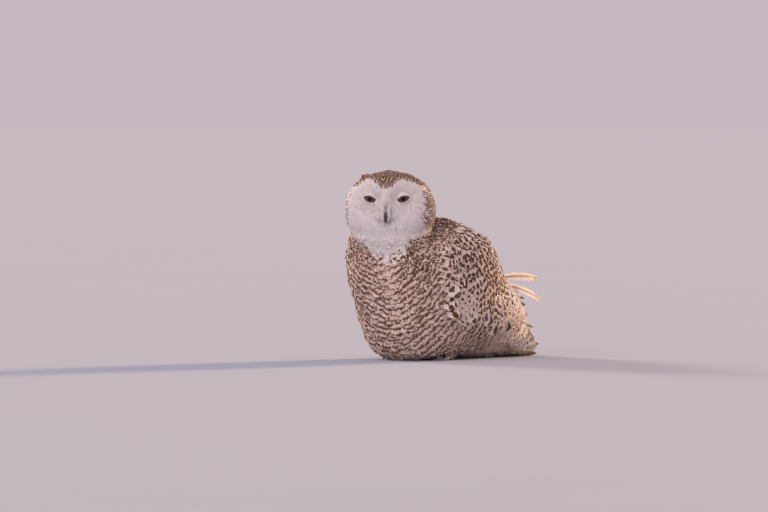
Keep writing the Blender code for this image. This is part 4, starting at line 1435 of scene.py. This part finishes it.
def make_bill(finish):
    """The hooked bill, on the arc of its ridge, with a keel along the top."""
    root_y = face_front(BILL_Z) + BILL_SINK
    grid = []
    for i in range(BILL_RINGS):
        share = i / (BILL_RINGS - 1)
        bend = math.radians(BILL_BEND[0] + BILL_BEND[1] * share)
        y = root_y - BILL_LENGTH * 0.52 * share * (1 - 0.35 * share)
        z = BILL_Z - BILL_LENGTH * BILL_DROP * share**1.35
        narrow = 0.05 + 0.95 * (1 - share**2.2) ** 0.62
        wide, tall = BILL_HALF_WIDTH * narrow, BILL_TALLER * BILL_HALF_WIDTH * narrow
        for j in range(BILL_POINTS):
            turn = TAU * j / BILL_POINTS
            top = max(math.cos(turn), 0)
            x = wide * math.sin(turn) * (1 - BILL_PINCH * top**2)
            height = tall * math.cos(turn) * (1 + BILL_KEEL * top**6)
            grid.append(head_point(x, y - math.sin(bend) * height, z + math.cos(bend) * height))
    mesh = plain_mesh("hooked_bill", grid, ring_faces(BILL_RINGS, BILL_POINTS))
    mesh.shade_smooth()
    return dress(link("hooked_bill", mesh), finish, ["bill"])


# ---- The coat ----


UNMARKED = (0.0, 0.0, 0.0)


def make_vanes(name, laid, finish, slot, replaced=(), **shape):
    """Makes laid feathers one piece and dresses it."""
    return dress(vanes(name, laid, **shape), finish, replaced)


def make_coat_piece(name, s, a, finish, slot, seed, length, half_width, kind, steps, columns,
                    sink, rise, twist, fray, flare=0.0, thick=0.0006, window=None, uneven=0.08,
                    fit=None, painted_shade=None, in_step=False):
    """Lays feathers at their roots and makes them one piece. Marks are those of the place
    where each feather's tip shows. Where painted shade is given, it takes the place of the painted
    golden rim light."""
    random = np.random.default_rng(seed)
    count = len(s)
    length = np.broadcast_to(length, count) * random.uniform(1 - uneven, 1 + uneven, count)
    half_width = np.broadcast_to(half_width, count) * random.uniform(0.93, 1.07, count)
    turn = np.radians(random.normal(0, twist, count))
    lift = np.broadcast_to(flare, count) * random.random(count) ** 2
    laid = lay(s, a, length, steps, sink, rise, turn, flare=lift)
    if fit:
        laid["spine"] = fit(laid["spine"])
    shown = int(steps * 0.75)
    tips = laid["s"][:, shown], laid["a"][:, shown]
    marks, tints = marks_at(*tips, coat.at(*tips)["point"])
    if painted_shade:
        tints = tints * 0.8
        tints[:, 2] = painted_shade(coat.at(*tips)["point"])
    return make_vanes(name, laid, finish, slot, half_width=half_width, columns=columns, kind=kind,
                      marks=marks, tints=tints, seed=seed + 1, thick=thick, fray=fray,
                      window=window, in_step=in_step)


PLUME_OVER_LID = 0.0004


def over_lids(points):
    """Lifts points of the face forwards, on to the eyelids where these stand higher."""
    for node in EYE_NODES:
        centre, radius, gaze, _, _ = eye_frame(node)
        gone = points - centre
        depth = dot(gone, gaze)
        aside = np.sum(gone**2, axis=-1) - depth**2
        reach = radius + LID_STAND + PLUME_OVER_LID
        needed = np.sqrt(np.clip(reach**2 - aside, 0, None))
        over = (depth > -0.004) & (aside < reach**2 * 0.86)
        points = points + gaze * (np.clip(needed - depth, 0, None) * over)[..., None]
    return points


EYE_MARGIN = 0.0016
BILL_TIP_Z = BILL_Z - BILL_LENGTH * BILL_DROP


def outside_eyes(points):
    """Which points of the face lie clear of the openings of the eyes."""
    clear = np.ones(points.shape[:-1], bool)
    for node in EYE_NODES:
        centre, _, gaze, aside, up = eye_frame(node)
        gone = points - centre
        x, z = dot(gone, aside), dot(gone, up)
        z = z - math.tan(LID_TILT) * x
        height = np.where(z > 0, LID_UPPER, LID_LOWER) + EYE_MARGIN
        inside = (x / (LID_HALF_WIDTH + EYE_MARGIN)) ** 2 + (z / height) ** 2 < 1
        clear &= ~(inside & (dot(gone, gaze) > 0))
    return clear


def outside_bill(points):
    x, y, z = head_place(points)
    return ~((np.abs(x) < 0.0022) & (z < BILL_Z) & (z > BILL_TIP_Z + 0.004) & (y < 0))


BRISTLES = 420
BRISTLE_SIDES = (0.0012, 0.0090)  # how far aside of the bill they start, and how much further
BRISTLES_ON_TOP = 0.0030  # those nearer to the middle than this grow above the bill
BRISTLE_DROP = (0.0075, 0.0105)
# The painted grey shade on the bristles: its least and how much more it grows, then the widths from
# the middle over which the more comes in.
BRISTLE_SHADE, BRISTLE_SHADE_SIDES = (0.35, 1.0), (0.0060, 0.0020)


def make_bristles(finish):
    """Stiff pale plumes that close over the bill from both sides and from above."""
    random = np.random.default_rng(111)
    x = random.uniform(-1, 1, BRISTLES)
    width = BRISTLE_SIDES[0] + BRISTLE_SIDES[1] * np.abs(x)
    x = np.sign(x) * width
    beside = BILL_Z + 0.010 - 0.020 * random.random(BRISTLES) + 0.3 * width
    above = BILL_Z + 0.003 + 0.010 * random.random(BRISTLES)
    z = np.where(width < BRISTLES_ON_TOP, above, beside)
    front = np.array([face_front(height) for height in z]) + 0.30 * width
    drop = random.uniform(*BRISTLE_DROP, BRISTLES)
    ahead = 0.0042 + 0.0016 * random.random(BRISTLES) - 0.15 * width
    roots = head_point(x, front + 0.0012, z)
    tips = head_point(x * 0.75, front - ahead, z - drop)
    laid = straight_feathers(roots, tips, with_head(1, 0, 0), 4, 0.0012,
                             3.6 + x * 30, math.pi + (z - BILL_Z) * 20)
    # Painted shade over the bill, darkest between the two sides.
    bristle_shade = np.zeros((BRISTLES, 3))
    bristle_shade[:, 2] = BRISTLE_SHADE[0] + BRISTLE_SHADE[1] * smoothstep(*BRISTLE_SHADE_SIDES, width)
    return make_vanes("bill_bristles", laid, finish, "white_plumage", half_width=0.0009, columns=2,
                      kind="plume", marks=UNMARKED, tints=bristle_shade, seed=113, thick=0.0003,
                      fray=0.0004)


# How strong the painted shade is above the bill, along the gape, under the bill and round the eye
# sockets.
PAINTED_SHADE_ABOVE, PAINTED_SHADE_GAPE, PAINTED_SHADE_UNDER, PAINTED_SHADE_SOCKET = 1.3, 1.7, 0.8, 0.45


def painted_face_shade(points):
    """Painted shade on the face: a soft grey above the bill, under it, along the line of the gape
    and round the eye sockets.
    """
    x, _, z = head_place(points)
    width = np.abs(x)
    above = bump(x, 0.0, 0.0050) * smoothstep(0.306, 0.294, z) * smoothstep(0.268, 0.280, z)
    gape = bump(z, BILL_TIP_Z + 0.002 + 0.010 * (width / 0.026) ** 2, 0.0032)
    gape *= smoothstep(0.030, 0.012, width)
    under = bump(x, 0.0, 0.0070) * bump(z, BILL_TIP_Z - 0.003, 0.0040)
    socket = bump(np.hypot(width - EYE_SPREAD, z - EYE_Z), 0.0115, 0.0040)
    grey = PAINTED_SHADE_ABOVE * above + PAINTED_SHADE_GAPE * gape + PAINTED_SHADE_UNDER * under + PAINTED_SHADE_SOCKET * socket
    return np.clip(grey, 0, 2)


FACE_EDGE_Y = -0.012  # in the head's frame, where the face's plumes give way to feathers


def on_face(points):
    """Which places of the head have the face's plumes, not the crown's feathers."""
    crown, _ = face_marks(points)
    _, y, _ = head_place(points)
    return (y < FACE_EDGE_Y) & (crown < 0.5)


def make_face(finish):
    """Short white plumes that spread from the eyes and the bill, and on over the bib."""
    def downy(s, a, points):
        front = on_face(points) & ((s < 5.9) | (bib_share(points) > 0.6))
        return front * outside_eyes(points) * outside_bill(points)

    s, a = scattered_roots(0.0025, 0.2, 6.9, 11, downy)
    x, _, z = head_place(coat.at(s, a)["point"])
    eye = np.hypot(np.abs(x) - EYE_SPREAD, z - EYE_Z)
    bill = np.hypot(x, z - BILL_Z)
    away = smoothstep(0.012, 0.034, np.minimum(eye, bill + 0.004))
    # The face's plumes carry painted shade round the bill, the gape and the eye sockets.
    return make_coat_piece(
        "coat_face", s, a, finish, "white_plumage", 21, kind="plume", steps=5, columns=2,
        length=0.0062 + 0.0085 * away, half_width=0.00105 + 0.0009 * away, sink=0.0013,
        rise=0.0005 + 0.0022 * smoothstep(5.3, 6.0, s), twist=9.0, fray=0.0004, thick=0.0004,
        fit=over_lids, painted_shade=painted_face_shade, window=(0.0, 7.2, math.radians(60), math.radians(300)))


def make_crown(finish):
    """Small speckled feathers over the crown, the nape and the sides of the head."""
    s, a = scattered_roots(0.0046, CROWN_CAP, 5.9, 31, lambda s, a, points: ~on_face(points))
    x, _, z = head_place(coat.at(s, a)["point"])
    down = smoothstep(2.0, 5.0, s)
    tuft = bump(x, -0.044, 0.005) * bump(z, 0.345, 0.006)
    return make_coat_piece(
        "coat_crown", s, a, finish, "spotted_plumage", 33, kind="contour", steps=5, columns=4,
        length=0.0140 + 0.0060 * down, half_width=0.0034 + 0.0010 * down, sink=0.0018,
        rise=0.0005, twist=9.0, fray=0.0016, flare=0.0014 + 0.0075 * tuft,
        window=(CROWN_CAP, 6.2, 0.0, TAU))


def make_neck(finish):
    """Soft feathers of the bib, the throat and the neck."""
    s, a = scattered_roots(0.0058, 5.4, 7.5, 41)
    return make_coat_piece(
        "coat_neck", s, a, finish, "barred_plumage", 43, kind="contour", steps=6, columns=4,
        length=0.021 + 0.006 * smoothstep(5.5, 7.5, s), half_width=0.0050, sink=0.0032,
        rise=0.0008, twist=8.0, fray=0.0032, flare=0.0025, window=(5.0, 8.0, 0.0, TAU))


ROW_GAP = 0.0155  # between the body's feathers along a row
WING_FEATHERS_FROM = 7.6
# Body feathers root outside this share of the wing, and none ends inside the second.
ROOTS_OFF_WING, TIPS_OFF_WING = 0.97, 0.78
FUZZ_SPACING = 0.0056
FUZZ_LENGTH = 0.0150
FUZZ_HALF_WIDTH = 0.0006
BELLY_FROM, FUZZ_FROM, FUZZ_END = 10.2, 6.3, 14.8


def body_roots():
    """The roots of the body's feathers, but for those under a wing or over the toes."""
    s, a = rows_of_roots(ROW_SPACING, ROW_GAP, 6.9, 16.6, 51, jitter=0.16)
    here = coat.at(s, a)
    off_wing = (np.abs(wing_share(s, a)) > ROOTS_OFF_WING) | (s < WING_FEATHERS_FROM)
    under = hollow_height(here["point"][:, 0], here["point"][:, 1]) > 0.002
    on_floor = (here["point"][:, 2] < 0.02) & (here["normal"][:, 2] < -0.3)
    ahead_s, ahead_a = coat.move(s, a, here, here["lie"] * BODY_LENGTH * 0.8)
    over_wing = np.abs(wing_share(ahead_s, ahead_a)) < TIPS_OFF_WING
    over_wing &= ahead_s > WING_FEATHERS_FROM
    keep = off_wing & ~over_wing & ~(under & on_floor)
    return s[keep], a[keep]


def make_body_coat(finishes):
    """The breast, belly, back and rump, in rows. Every row's bars run on into its neighbours'."""
    s, a = body_roots()
    back = np.abs(from_back(a)) < math.radians(80)
    regions = {
        "coat_breast": (~back & (s < BELLY_FROM), "barred_plumage"),
        "coat_belly": (~back & (s >= BELLY_FROM), "barred_plumage"),
        "coat_back": (back, "spotted_plumage"),
    }
    for index, (name, (chosen, slot)) in enumerate(regions.items()):
        low_s, high_s = s[chosen].min() - 0.3, s[chosen].max() + 0.3
        rear = smoothstep(13.5, 16.0, s[chosen])
        make_coat_piece(
            name, s[chosen], a[chosen], finishes[slot], slot, 60 + index, kind="contour", steps=9,
            columns=8, length=BODY_LENGTH + 0.010 * rear, half_width=0.0118, sink=0.0036,
            rise=0.0007, twist=4.0, fray=0.0030, flare=0.0028, uneven=0.03,
            window=(low_s, high_s, 0.0, TAU))


def make_fuzz(name, first, last, seed, finish):
    """Fine loose plumes between the feathers of the breast, the flanks and the belly."""
    def downy(s, a, points):
        off_wing = (np.abs(wing_share(s, a)) > 0.98) | (s < WING_FEATHERS_FROM)
        front = np.abs(from_back(a)) > math.radians(76)
        off_bib = bib_share(points) < 0.5
        return off_wing & front & off_bib & (points[..., 2] > 0.008)

    s, a = scattered_roots(FUZZ_SPACING, first, last, seed, downy)
    return make_coat_piece(
        name, s, a, finish, "barred_plumage", seed + 1, kind="plume", steps=4, columns=2,
        length=FUZZ_LENGTH, half_width=FUZZ_HALF_WIDTH, sink=0.0012, rise=0.0024, twist=12.0,
        fray=0.0004, flare=0.0020, thick=0.0003, in_step=True,
        window=(first - 0.3, last + 0.3, 0.0, TAU))


def side_window(first, last, side):
    """The part of the coat between two stations on one side, for the map."""
    return (first, last, 0.0, math.pi) if side > 0 else (first, last, math.pi, TAU)


def make_wing_coverts(side_name, side, finish):
    """The small feathers of a wing in rows that lie like roof tiles, longer to the rear."""
    s, a = rows_of_roots(0.0108, 0.0125, 7.45, 13.6, 71, jitter=0.18)
    keep = (np.abs(wing_share(s, a)) < 0.99) & (np.sin(a) * side > 0)
    s, a = s[keep], a[keep]
    rear = smoothstep(10.0, 13.3, s)
    return make_coat_piece(
        f"coverts_{side_name}", s, a, finish, "spotted_plumage", 73, kind="contour", steps=9,
        columns=8, length=0.036 + 0.016 * rear, half_width=0.0105 + 0.0022 * rear, sink=0.0038,
        rise=0.0009, twist=6.0, fray=0.0024, flare=0.0024, window=side_window(7.2, 13.8, side))


# The broad feathers with one large dark spot each, low on the left wing: the station of the
# spot and its degrees round from the back.
BOLD_COVERTS = (
    (10.15, 112), (10.50, 118), (10.85, 116), (11.40, 104), (12.20, 94), (12.75, 101), (13.35, 95),
)
BOLD_LENGTH = 0.034


def make_bold_coverts(finish):
    """The broad feathers, laid so that each spot comes where its place says."""
    s, degrees = np.array(BOLD_COVERTS, float).T
    a = np.radians(degrees)
    here = coat.at(s, a)
    s, a = coat.move(s, a, here, -here["lie"] * BOLD_LENGTH * 0.84)
    laid = lay(s, a, BOLD_LENGTH, 10, 0.002, 0.0058)
    return make_vanes("bold_coverts", laid, finish, "spotted_plumage", half_width=0.0125,
                      columns=8, kind="contour", marks=(0.0, 1.25, 0.0), tints=(0.35, 0.5, 0.0),
                      seed=77, thick=0.0007, fray=0.0020, camber=6.0,
                      window=side_window(8.5, 14.0, 1))


# The long feathers of a wing, lowest first. Each group: how many, then for its first and last
# feather the root's station, the degrees round the body and the length, and then the height
# of the group's tips over the coat and the half-width.
FLIGHT_FEATHERS = {
    "primaries": (9, (13.6, 14.2), (120, 62), (0.138, 0.116), -0.0024, 0.0112),
    "tertials": (7, (14.1, 14.2), (66, 18), (0.102, 0.088), -0.0010, 0.0135),
    "secondaries": (14, (12.7, 13.0), (108, 20), (0.100, 0.090), 0.0006, 0.0135),
}
FLIGHT_STEP = 0.0003  # each feather's height over the one below it


def make_flight_feathers(side_name, side, finish):
    """The primaries, tertials and secondaries, each lying on the one below it."""
    rows = []
    for count, stations, degrees, lengths, height, half in FLIGHT_FEATHERS.values():
        for i in range(count):
            share = np.array([1 - i / (count - 1), i / (count - 1)])
            rows.append((share @ stations, share @ degrees, share @ lengths,
                         height + FLIGHT_STEP * i, half))
    s, degrees, length, height, half = np.array(rows).T
    laid = lay(s, np.radians(degrees) * side, length, 22, 0.006, height, 0.0, 0.5)
    bold = np.arange(len(s)) % 3 == 0
    marks = side_by_side(s.shape, 0.30 + 0.15 * bold, 1.1 * bold, 0.0)
    # The tints' third part is painted golden rim light.
    return make_vanes(f"flight_{side_name}", laid, finish, "spotted_plumage",
                      [f"primaries_{side_name}"], half_width=half, columns=8, kind="flight",
                      marks=marks, tints=(0.25, 0.45, 0.35), seed=81, thick=0.0012, fray=0.0020,
                      camber=5.0, window=side_window(11.5, 17.2, side))


def straight_feathers(roots, tips, aside, steps, arch, root_s, root_a):
    """Feathers that run straight from roots to tips, for the vane maker. Their stations and
    angles only say where on the coat they count as rooted."""
    roots, tips = np.array(roots, float), np.array(tips, float)
    shares = np.linspace(0, 1, steps + 1)
    forward = unit(tips - roots)
    across = unit(aside - forward * dot(aside, forward)[:, None])
    normal = np.cross(across, forward)
    normal = np.where(normal[:, 2:] < 0, -normal, normal)
    spine = roots[:, None] + (tips - roots)[:, None] * shares[None, :, None]
    spine = spine + normal[:, None] * (arch * np.sin(math.pi * shares))[None, :, None]
    spread = (len(roots), steps + 1, 3)
    return {
        "spine": spine,
        "across": np.broadcast_to(np.cross(forward, normal)[:, None], spread),
        "normal": np.broadcast_to(normal[:, None], spread),
        "forward": np.broadcast_to(forward[:, None], spread),
        "run": np.broadcast_to(shares[None], (len(roots), steps + 1)) * 0.1,
        "length": np.linalg.norm(tips - roots, axis=-1),
        "root_s": np.broadcast_to(root_s, len(roots)),
        "root_a": np.broadcast_to(root_a, len(roots)),
    }


ACROSS = (1.0, 0.0, 0.0)
TAIL_MIDDLE_RISE, TAIL_SINK = 0.0040, 0.0008
TAIL_SPREAD = 0.84  # of the solid's half-width that the feathers' middles reach
TAIL_CORNERS_SHORT = 0.012
TAIL_TIP_LONGER, TAIL_TIP_LOWER = 0.002, 0.003  # than the solid


def make_tail(finish):
    """Twelve tail feathers in a shallow fan, the middle pair on top."""
    (root_y, root_z), (tip_y, tip_z) = TAIL_ROOT, TAIL_TIP
    roots, tips = [], []
    for i in range(TAIL_FEATHERS):
        across = -1 + (2 * i + 1) / TAIL_FEATHERS
        rise = TAIL_MIDDLE_RISE * (1 - abs(across)) - TAIL_SINK
        short = TAIL_CORNERS_SHORT * across**2
        roots.append((TAIL_ROOT_HALF * across, root_y, root_z + rise))
        tips.append((TAIL_TIP_HALF * TAIL_SPREAD * across, tip_y + TAIL_TIP_LONGER - short,
                     tip_z - TAIL_TIP_LOWER + rise))
    laid = straight_feathers(roots, tips, ACROSS, 18, 0.003, 16.5,
                             np.linspace(0.4, TAU - 0.4, TAIL_FEATHERS))
    laid["spine"] = laid["spine"] + SHIFT
    # The tints' third part is painted golden rim light.
    return make_vanes("tail_feathers", laid, finish, "spotted_plumage", ["tail"],
                      half_width=0.0125, columns=8, kind="flight", marks=(0.6, 0.0, 0.0),
                      tints=(0.22, 0.4, 0.2), seed=91, thick=0.0011, fray=0.0016, camber=4.0)


# The coverts over the root of the tail, in layers from the lowest: how many, the y and z of
# the roots and of the tips, and half the width that the tips span.
TAIL_COVERTS = (
    (13, (0.245, 0.038), (0.352, 0.0205), 0.045),
    (11, (0.235, 0.048), (0.338, 0.0265), 0.044),
    (10, (0.225, 0.058), (0.324, 0.0330), 0.040),
)
COVERTS_ROOT_HALF, COVERTS_DROOP, COVERTS_SHORT = 0.036, 0.006, 0.008
# Those that close the gap under each folded wing's tip: how far forward and up their roots
# lie and the share of x there, and then, from the middle outwards, the tips' x, y and z.
TIP_COVERT_LENGTH, TIP_COVERT_RISE, TIP_COVERT_ROOT = 0.100, 0.016, 0.8
TIP_COVERTS = ((0.020, 0.330, 0.0425), (0.027, 0.333, 0.0435), (0.034, 0.335, 0.0430),
               (0.041, 0.336, 0.0400), (0.047, 0.335, 0.0345))


def make_tail_coverts(finish):
    """Soft feathers between the folded wings, which run out over the tail."""
    roots, tips = [], []
    for count, (root_y, root_z), (tip_y, tip_z), half_span in TAIL_COVERTS:
        for across in np.linspace(-1, 1, count):
            droop = COVERTS_DROOP * across**2
            roots.append((COVERTS_ROOT_HALF * across, root_y, root_z - droop))
            tips.append((half_span * across, tip_y - COVERTS_SHORT * across**2, tip_z - droop))
    for side in (-1, 1):
        for tip_x, tip_y, tip_z in TIP_COVERTS:
            roots.append((side * tip_x * TIP_COVERT_ROOT, tip_y - TIP_COVERT_LENGTH,
                          tip_z + TIP_COVERT_RISE))
            tips.append((side * tip_x, tip_y, tip_z))
    count = len(roots)
    laid = straight_feathers(roots, tips, ACROSS, 12, 0.004, np.linspace(14.5, 16.5, count),
                             np.linspace(0.2, TAU - 0.2, count))
    laid["spine"] = laid["spine"] + SHIFT
    # The tints' third part is painted golden rim light.
    return make_vanes("tail_coverts", laid, finish, "spotted_plumage", half_width=0.0105,
                      columns=8, kind="contour", marks=(0.35, 0.8, 0.0), tints=(0.35, 0.3, 0.25),
                      seed=121, thick=0.0008, fray=0.0024, camber=6.0)


# Feathers that the wind ruffles along the left wing's rear edge: the root's station, its
# degrees round from the back, the length, and how far the tip stands off.
RUFFLED = (
    (12.75, 36, 0.036, 0.010), (13.05, 27, 0.042, 0.015), (13.40, 40, 0.034, 0.011),
    (13.95, 30, 0.040, 0.014), (14.50, 38, 0.036, 0.010), (14.90, 26, 0.038, 0.012),
    (15.35, 44, 0.034, 0.012), (15.80, 32, 0.032, 0.010),
)


def make_ruffled_feathers(finish):
    """Feathers that stand off the rear edge of the left wing."""
    s, degrees, length, flare = np.array(RUFFLED).T
    laid = lay(s, np.radians(degrees), length, 12, 0.003, 0.001, follow=0.1, flare=flare)
    # The tints' third part is painted golden rim light, strong on these raised edges.
    return make_vanes("ruffled_feathers", laid, finish, "spotted_plumage", half_width=0.0062,
                      columns=8, kind="flight", marks=(0.0, 0.9, 0.0), tints=(0.2, 0.3, 0.9),
                      seed=131, thick=0.0008, fray=0.0040, camber=8.0,
                      window=side_window(12.0, 17.2, 1))


def make_raised_feathers(finish):
    """The two narrow feathers that the wind lifts off the left wing."""
    for index, (name, (station, degrees, tip)) in enumerate(RAISED_FEATHERS.items()):
        angle = math.radians(degrees)
        here = coat.at(np.array([station]), np.array([angle]))
        root = here["point"] - here["normal"] * 0.006
        end = np.array([tip]) + SHIFT
        forward = unit(end - root)
        level = unit(np.cross(forward, np.array([0.0, 0.0, 1.0])))
        aside = level * math.cos(RAISED_ROLL) + np.cross(forward, level) * math.sin(RAISED_ROLL)
        laid = straight_feathers(root, end, aside, 24, 0.006, station, angle)
        # The tints' third part is painted golden rim light, at its full strength here.
        make_vanes(f"raised_{name}", laid, finish, "spotted_plumage", [f"raised_feather_{name}"],
                   half_width=0.0090, columns=10, kind="flight", marks=UNMARKED,
                   tints=(0.12, 0.6, 1.0), seed=95 + index, thick=0.0012, fray=0.0036, camber=6.0)


FOOT_TUFTS = {"foot": 520, "leg": 260}
TUFTS_TOP = 0.040
TUFT_FLOW, TUFT_FLOW_SPREAD = (0.0, -0.8, -0.6), 0.15
TUFT_LENGTH = (0.0070, 0.0095)


def make_foot_tufts(finish):
    """Short dense plumes over the legs and toes, pointing down and forwards."""
    random = np.random.default_rng(101)
    points, normals = [], []
    for side in ("left", "right"):
        for part, count in FOOT_TUFTS.items():
            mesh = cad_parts[f"{part}_{side}"].data
            mesh.calc_loop_triangles()
            corners = [[mesh.vertices[i].co for i in t.vertices] for t in mesh.loop_triangles]
            corners = np.array(corners)
            cross = np.cross(corners[:, 1] - corners[:, 0], corners[:, 2] - corners[:, 0])
            normal = unit(cross)
            size = np.linalg.norm(cross, axis=-1) * (normal[:, 2] > -0.6)
            picks = random.choice(len(size), size=count, p=size / size.sum())
            weight = random.dirichlet((1, 1, 1), count)
            points.append(np.einsum("ij,ijk->ik", weight, corners[picks]))
            normals.append(normal[picks])
    points, normals = np.concatenate(points), np.concatenate(normals)
    low = points[:, 2] < TUFTS_TOP
    points, normals = points[low], normals[low]
    flow = TUFT_FLOW + random.normal(0, TUFT_FLOW_SPREAD, (len(points), 3))
    flow = unit(flow - normals * dot(flow, normals)[:, None])
    length = random.uniform(*TUFT_LENGTH, len(points))
    roots = points - normals * 0.0008
    tips = points + flow * length[:, None] + normals * 0.0006
    laid = straight_feathers(roots, tips, np.cross(flow, normals), 4, 0.0,
                             12.0 + (points[:, 1] - points[:, 1].min()) * 40,
                             math.pi + points[:, 0] * 20)
    return make_vanes("coat_feet", laid, finish, "white_plumage", half_width=0.0016, columns=2,
                      kind="plume", marks=UNMARKED, tints=(0.1, 0.0, 0.0), seed=103, thick=0.0004,
                      fray=0.0004)


def finish_claws(finish):
    for name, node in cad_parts.items():
        if name.startswith("claw_"):
            for slot in node.material_slots:
                slot.material = finish


# ---- Studio ----

FRAME_WIDTH = 1.4355  # of what the camera sees at the owl
EYES_RIGHT = 0.0059  # of the frame's middle
EYES_UP = 0.1073
SENSOR = 36.0
CAMERA_DISTANCE = 14.0
CAMERA_AZIMUTH = math.radians(36)
CAMERA_ELEVATION = math.radians(1.0)
FLOOR_SIZE = 2000.0
FLOOR_COLOURS = ((0.338, 0.374, 0.49, 1.0), (0.358, 0.394, 0.51, 1.0))
AIR_COLOUR = (0.86, 0.725, 0.80, 1.0)
AIR_STRENGTH = 0.66
# The suns: how much each shines towards the camera, to the camera's right, and down; then its
# strength, its softness in degrees and its colour.
SUNS = {
    "low_sun": (1.0, -0.95, 0.36, 4.0, 10, (1.0, 0.68, 0.36)),
    "far_rim": (1.0, 0.75, 0.40, 2.2, 15, (1.0, 0.84, 0.68)),
    "soft_key": (-1.0, 0.55, 0.42, 1.12, 50, (1.0, 0.94, 0.93)),
}


def make_floor():
    corners = [(-1, -1, 0), (1, -1, 0), (1, 1, 0), (-1, 1, 0)]
    mesh = plain_mesh("studio_floor", corners, [(0, 1, 2, 3)])
    mesh.transform(Matrix.Scale(FLOOR_SIZE / 2, 4))
    floor = link("studio_floor", mesh)
    finish, w, shader = new_finish("pale_floor", 0.9)
    where = w.node("ShaderNodeTexCoord").outputs["Object"]
    w.put(shader.inputs["Base Color"], w.mix(w.noise(where, 1.5, 3.0), *FLOOR_COLOURS))
    mesh.materials.append(finish)


def sun(name, towards, strength, softness, colour):
    """A distant lamp that shines the way a direction points."""
    light = bpy.data.lights.new(name, "SUN")
    light.energy = strength
    light.angle = math.radians(softness)
    light.color = colour
    lamp = bpy.data.objects.new(name, light)
    bpy.context.scene.collection.objects.link(lamp)
    lamp.rotation_euler = Vector(towards).to_track_quat("-Z", "Y").to_euler()


def view_axes():
    """The camera's back, right and up directions."""
    sine, cosine = math.sin(CAMERA_AZIMUTH), math.cos(CAMERA_AZIMUTH)
    flat, rise = math.cos(CAMERA_ELEVATION), math.sin(CAMERA_ELEVATION)
    back = Vector((sine * flat, -cosine * flat, rise))
    right = Vector((cosine, sine, 0))
    return back, right, back.cross(right)


def make_lights():
    back, right, _ = view_axes()
    for name, (nearer, aside, down, strength, softness, colour) in SUNS.items():
        towards = back * nearer + right * aside - Vector((0, 0, down))
        sun(name, towards, strength, softness, colour)
    world = bpy.data.worlds.new("studio_air")
    world.use_nodes = True
    air = world.node_tree.nodes["Background"]
    air.inputs["Color"].default_value = AIR_COLOUR
    air.inputs["Strength"].default_value = AIR_STRENGTH
    bpy.context.scene.world = world


def make_camera():
    """A long lens, low down, from the owl's left front. The eyes lie left of the middle of
    the frame and above it."""
    back, right, up = view_axes()
    eyes = sum((sum(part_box(node), Vector()) / 2 for node in EYE_NODES), Vector()) / 2
    target = eyes - right * EYES_RIGHT - up * EYES_UP
    lens = bpy.data.cameras.new("camera")
    lens.sensor_width = SENSOR
    lens.lens = SENSOR * CAMERA_DISTANCE / FRAME_WIDTH
    lens.clip_end = FLOOR_SIZE
    camera = bpy.data.objects.new("camera", lens)
    bpy.context.scene.collection.objects.link(camera)
    camera.location = target + back * CAMERA_DISTANCE
    camera.rotation_euler = back.to_track_quat("Z", "Y").to_euler()
    bpy.context.scene.camera = camera


def make_owl():
    barred = plumage("barred_feathers", bar=0.0043, breaks=0.38, mark=UMBER)
    spotted = plumage("spotted_feathers", breaks=0.40)
    # The white feathers' third tint brings in painted grey shade in place of the painted golden rim
    # light.
    white = plumage("white_feathers", relief=0.2, painted_light_colour=FACE_SHADE_GREY)
    flight = plumage("flight_feathers", spacing=0.021, bar=0.0062, first=0.011, breaks=0.44,
                     shaft=0.6)
    lifted = plumage("wind_lifted_feathers", shaft=0.95, shaft_half=0.0026, Subsurface_Weight=0.7,
                     Subsurface_Radius=(1.0, 0.8, 0.5), Subsurface_Scale=0.004)
    finishes = {"barred_plumage": barred, "spotted_plumage": spotted}
    make_skin(skin_finish())
    amber = eye_finish()
    for node in EYE_NODES:
        make_eye(node, amber)
    make_bill(horn_finish("bill_horn", *BILL_HORN, 90.0))
    finish_claws(horn_finish("claw_horn", *CLAW_HORN, 140.0))
    make_face(white)
    make_bristles(white)
    make_crown(spotted)
    make_neck(barred)
    make_body_coat(finishes)
    make_fuzz("fuzz_breast", FUZZ_FROM, BELLY_FROM, 141, barred)
    make_fuzz("fuzz_belly", BELLY_FROM, FUZZ_END, 145, barred)
    for side_name, side in (("left", 1), ("right", -1)):
        make_wing_coverts(side_name, side, spotted)
        make_flight_feathers(side_name, side, flight)
    make_bold_coverts(spotted)
    make_tail(flight)
    make_tail_coverts(spotted)
    make_ruffled_feathers(spotted)
    make_raised_feathers(lifted)
    make_foot_tufts(white)


make_owl()
make_floor()
make_lights()
make_camera()
bpy.context.scene.view_settings.view_transform = "Standard"
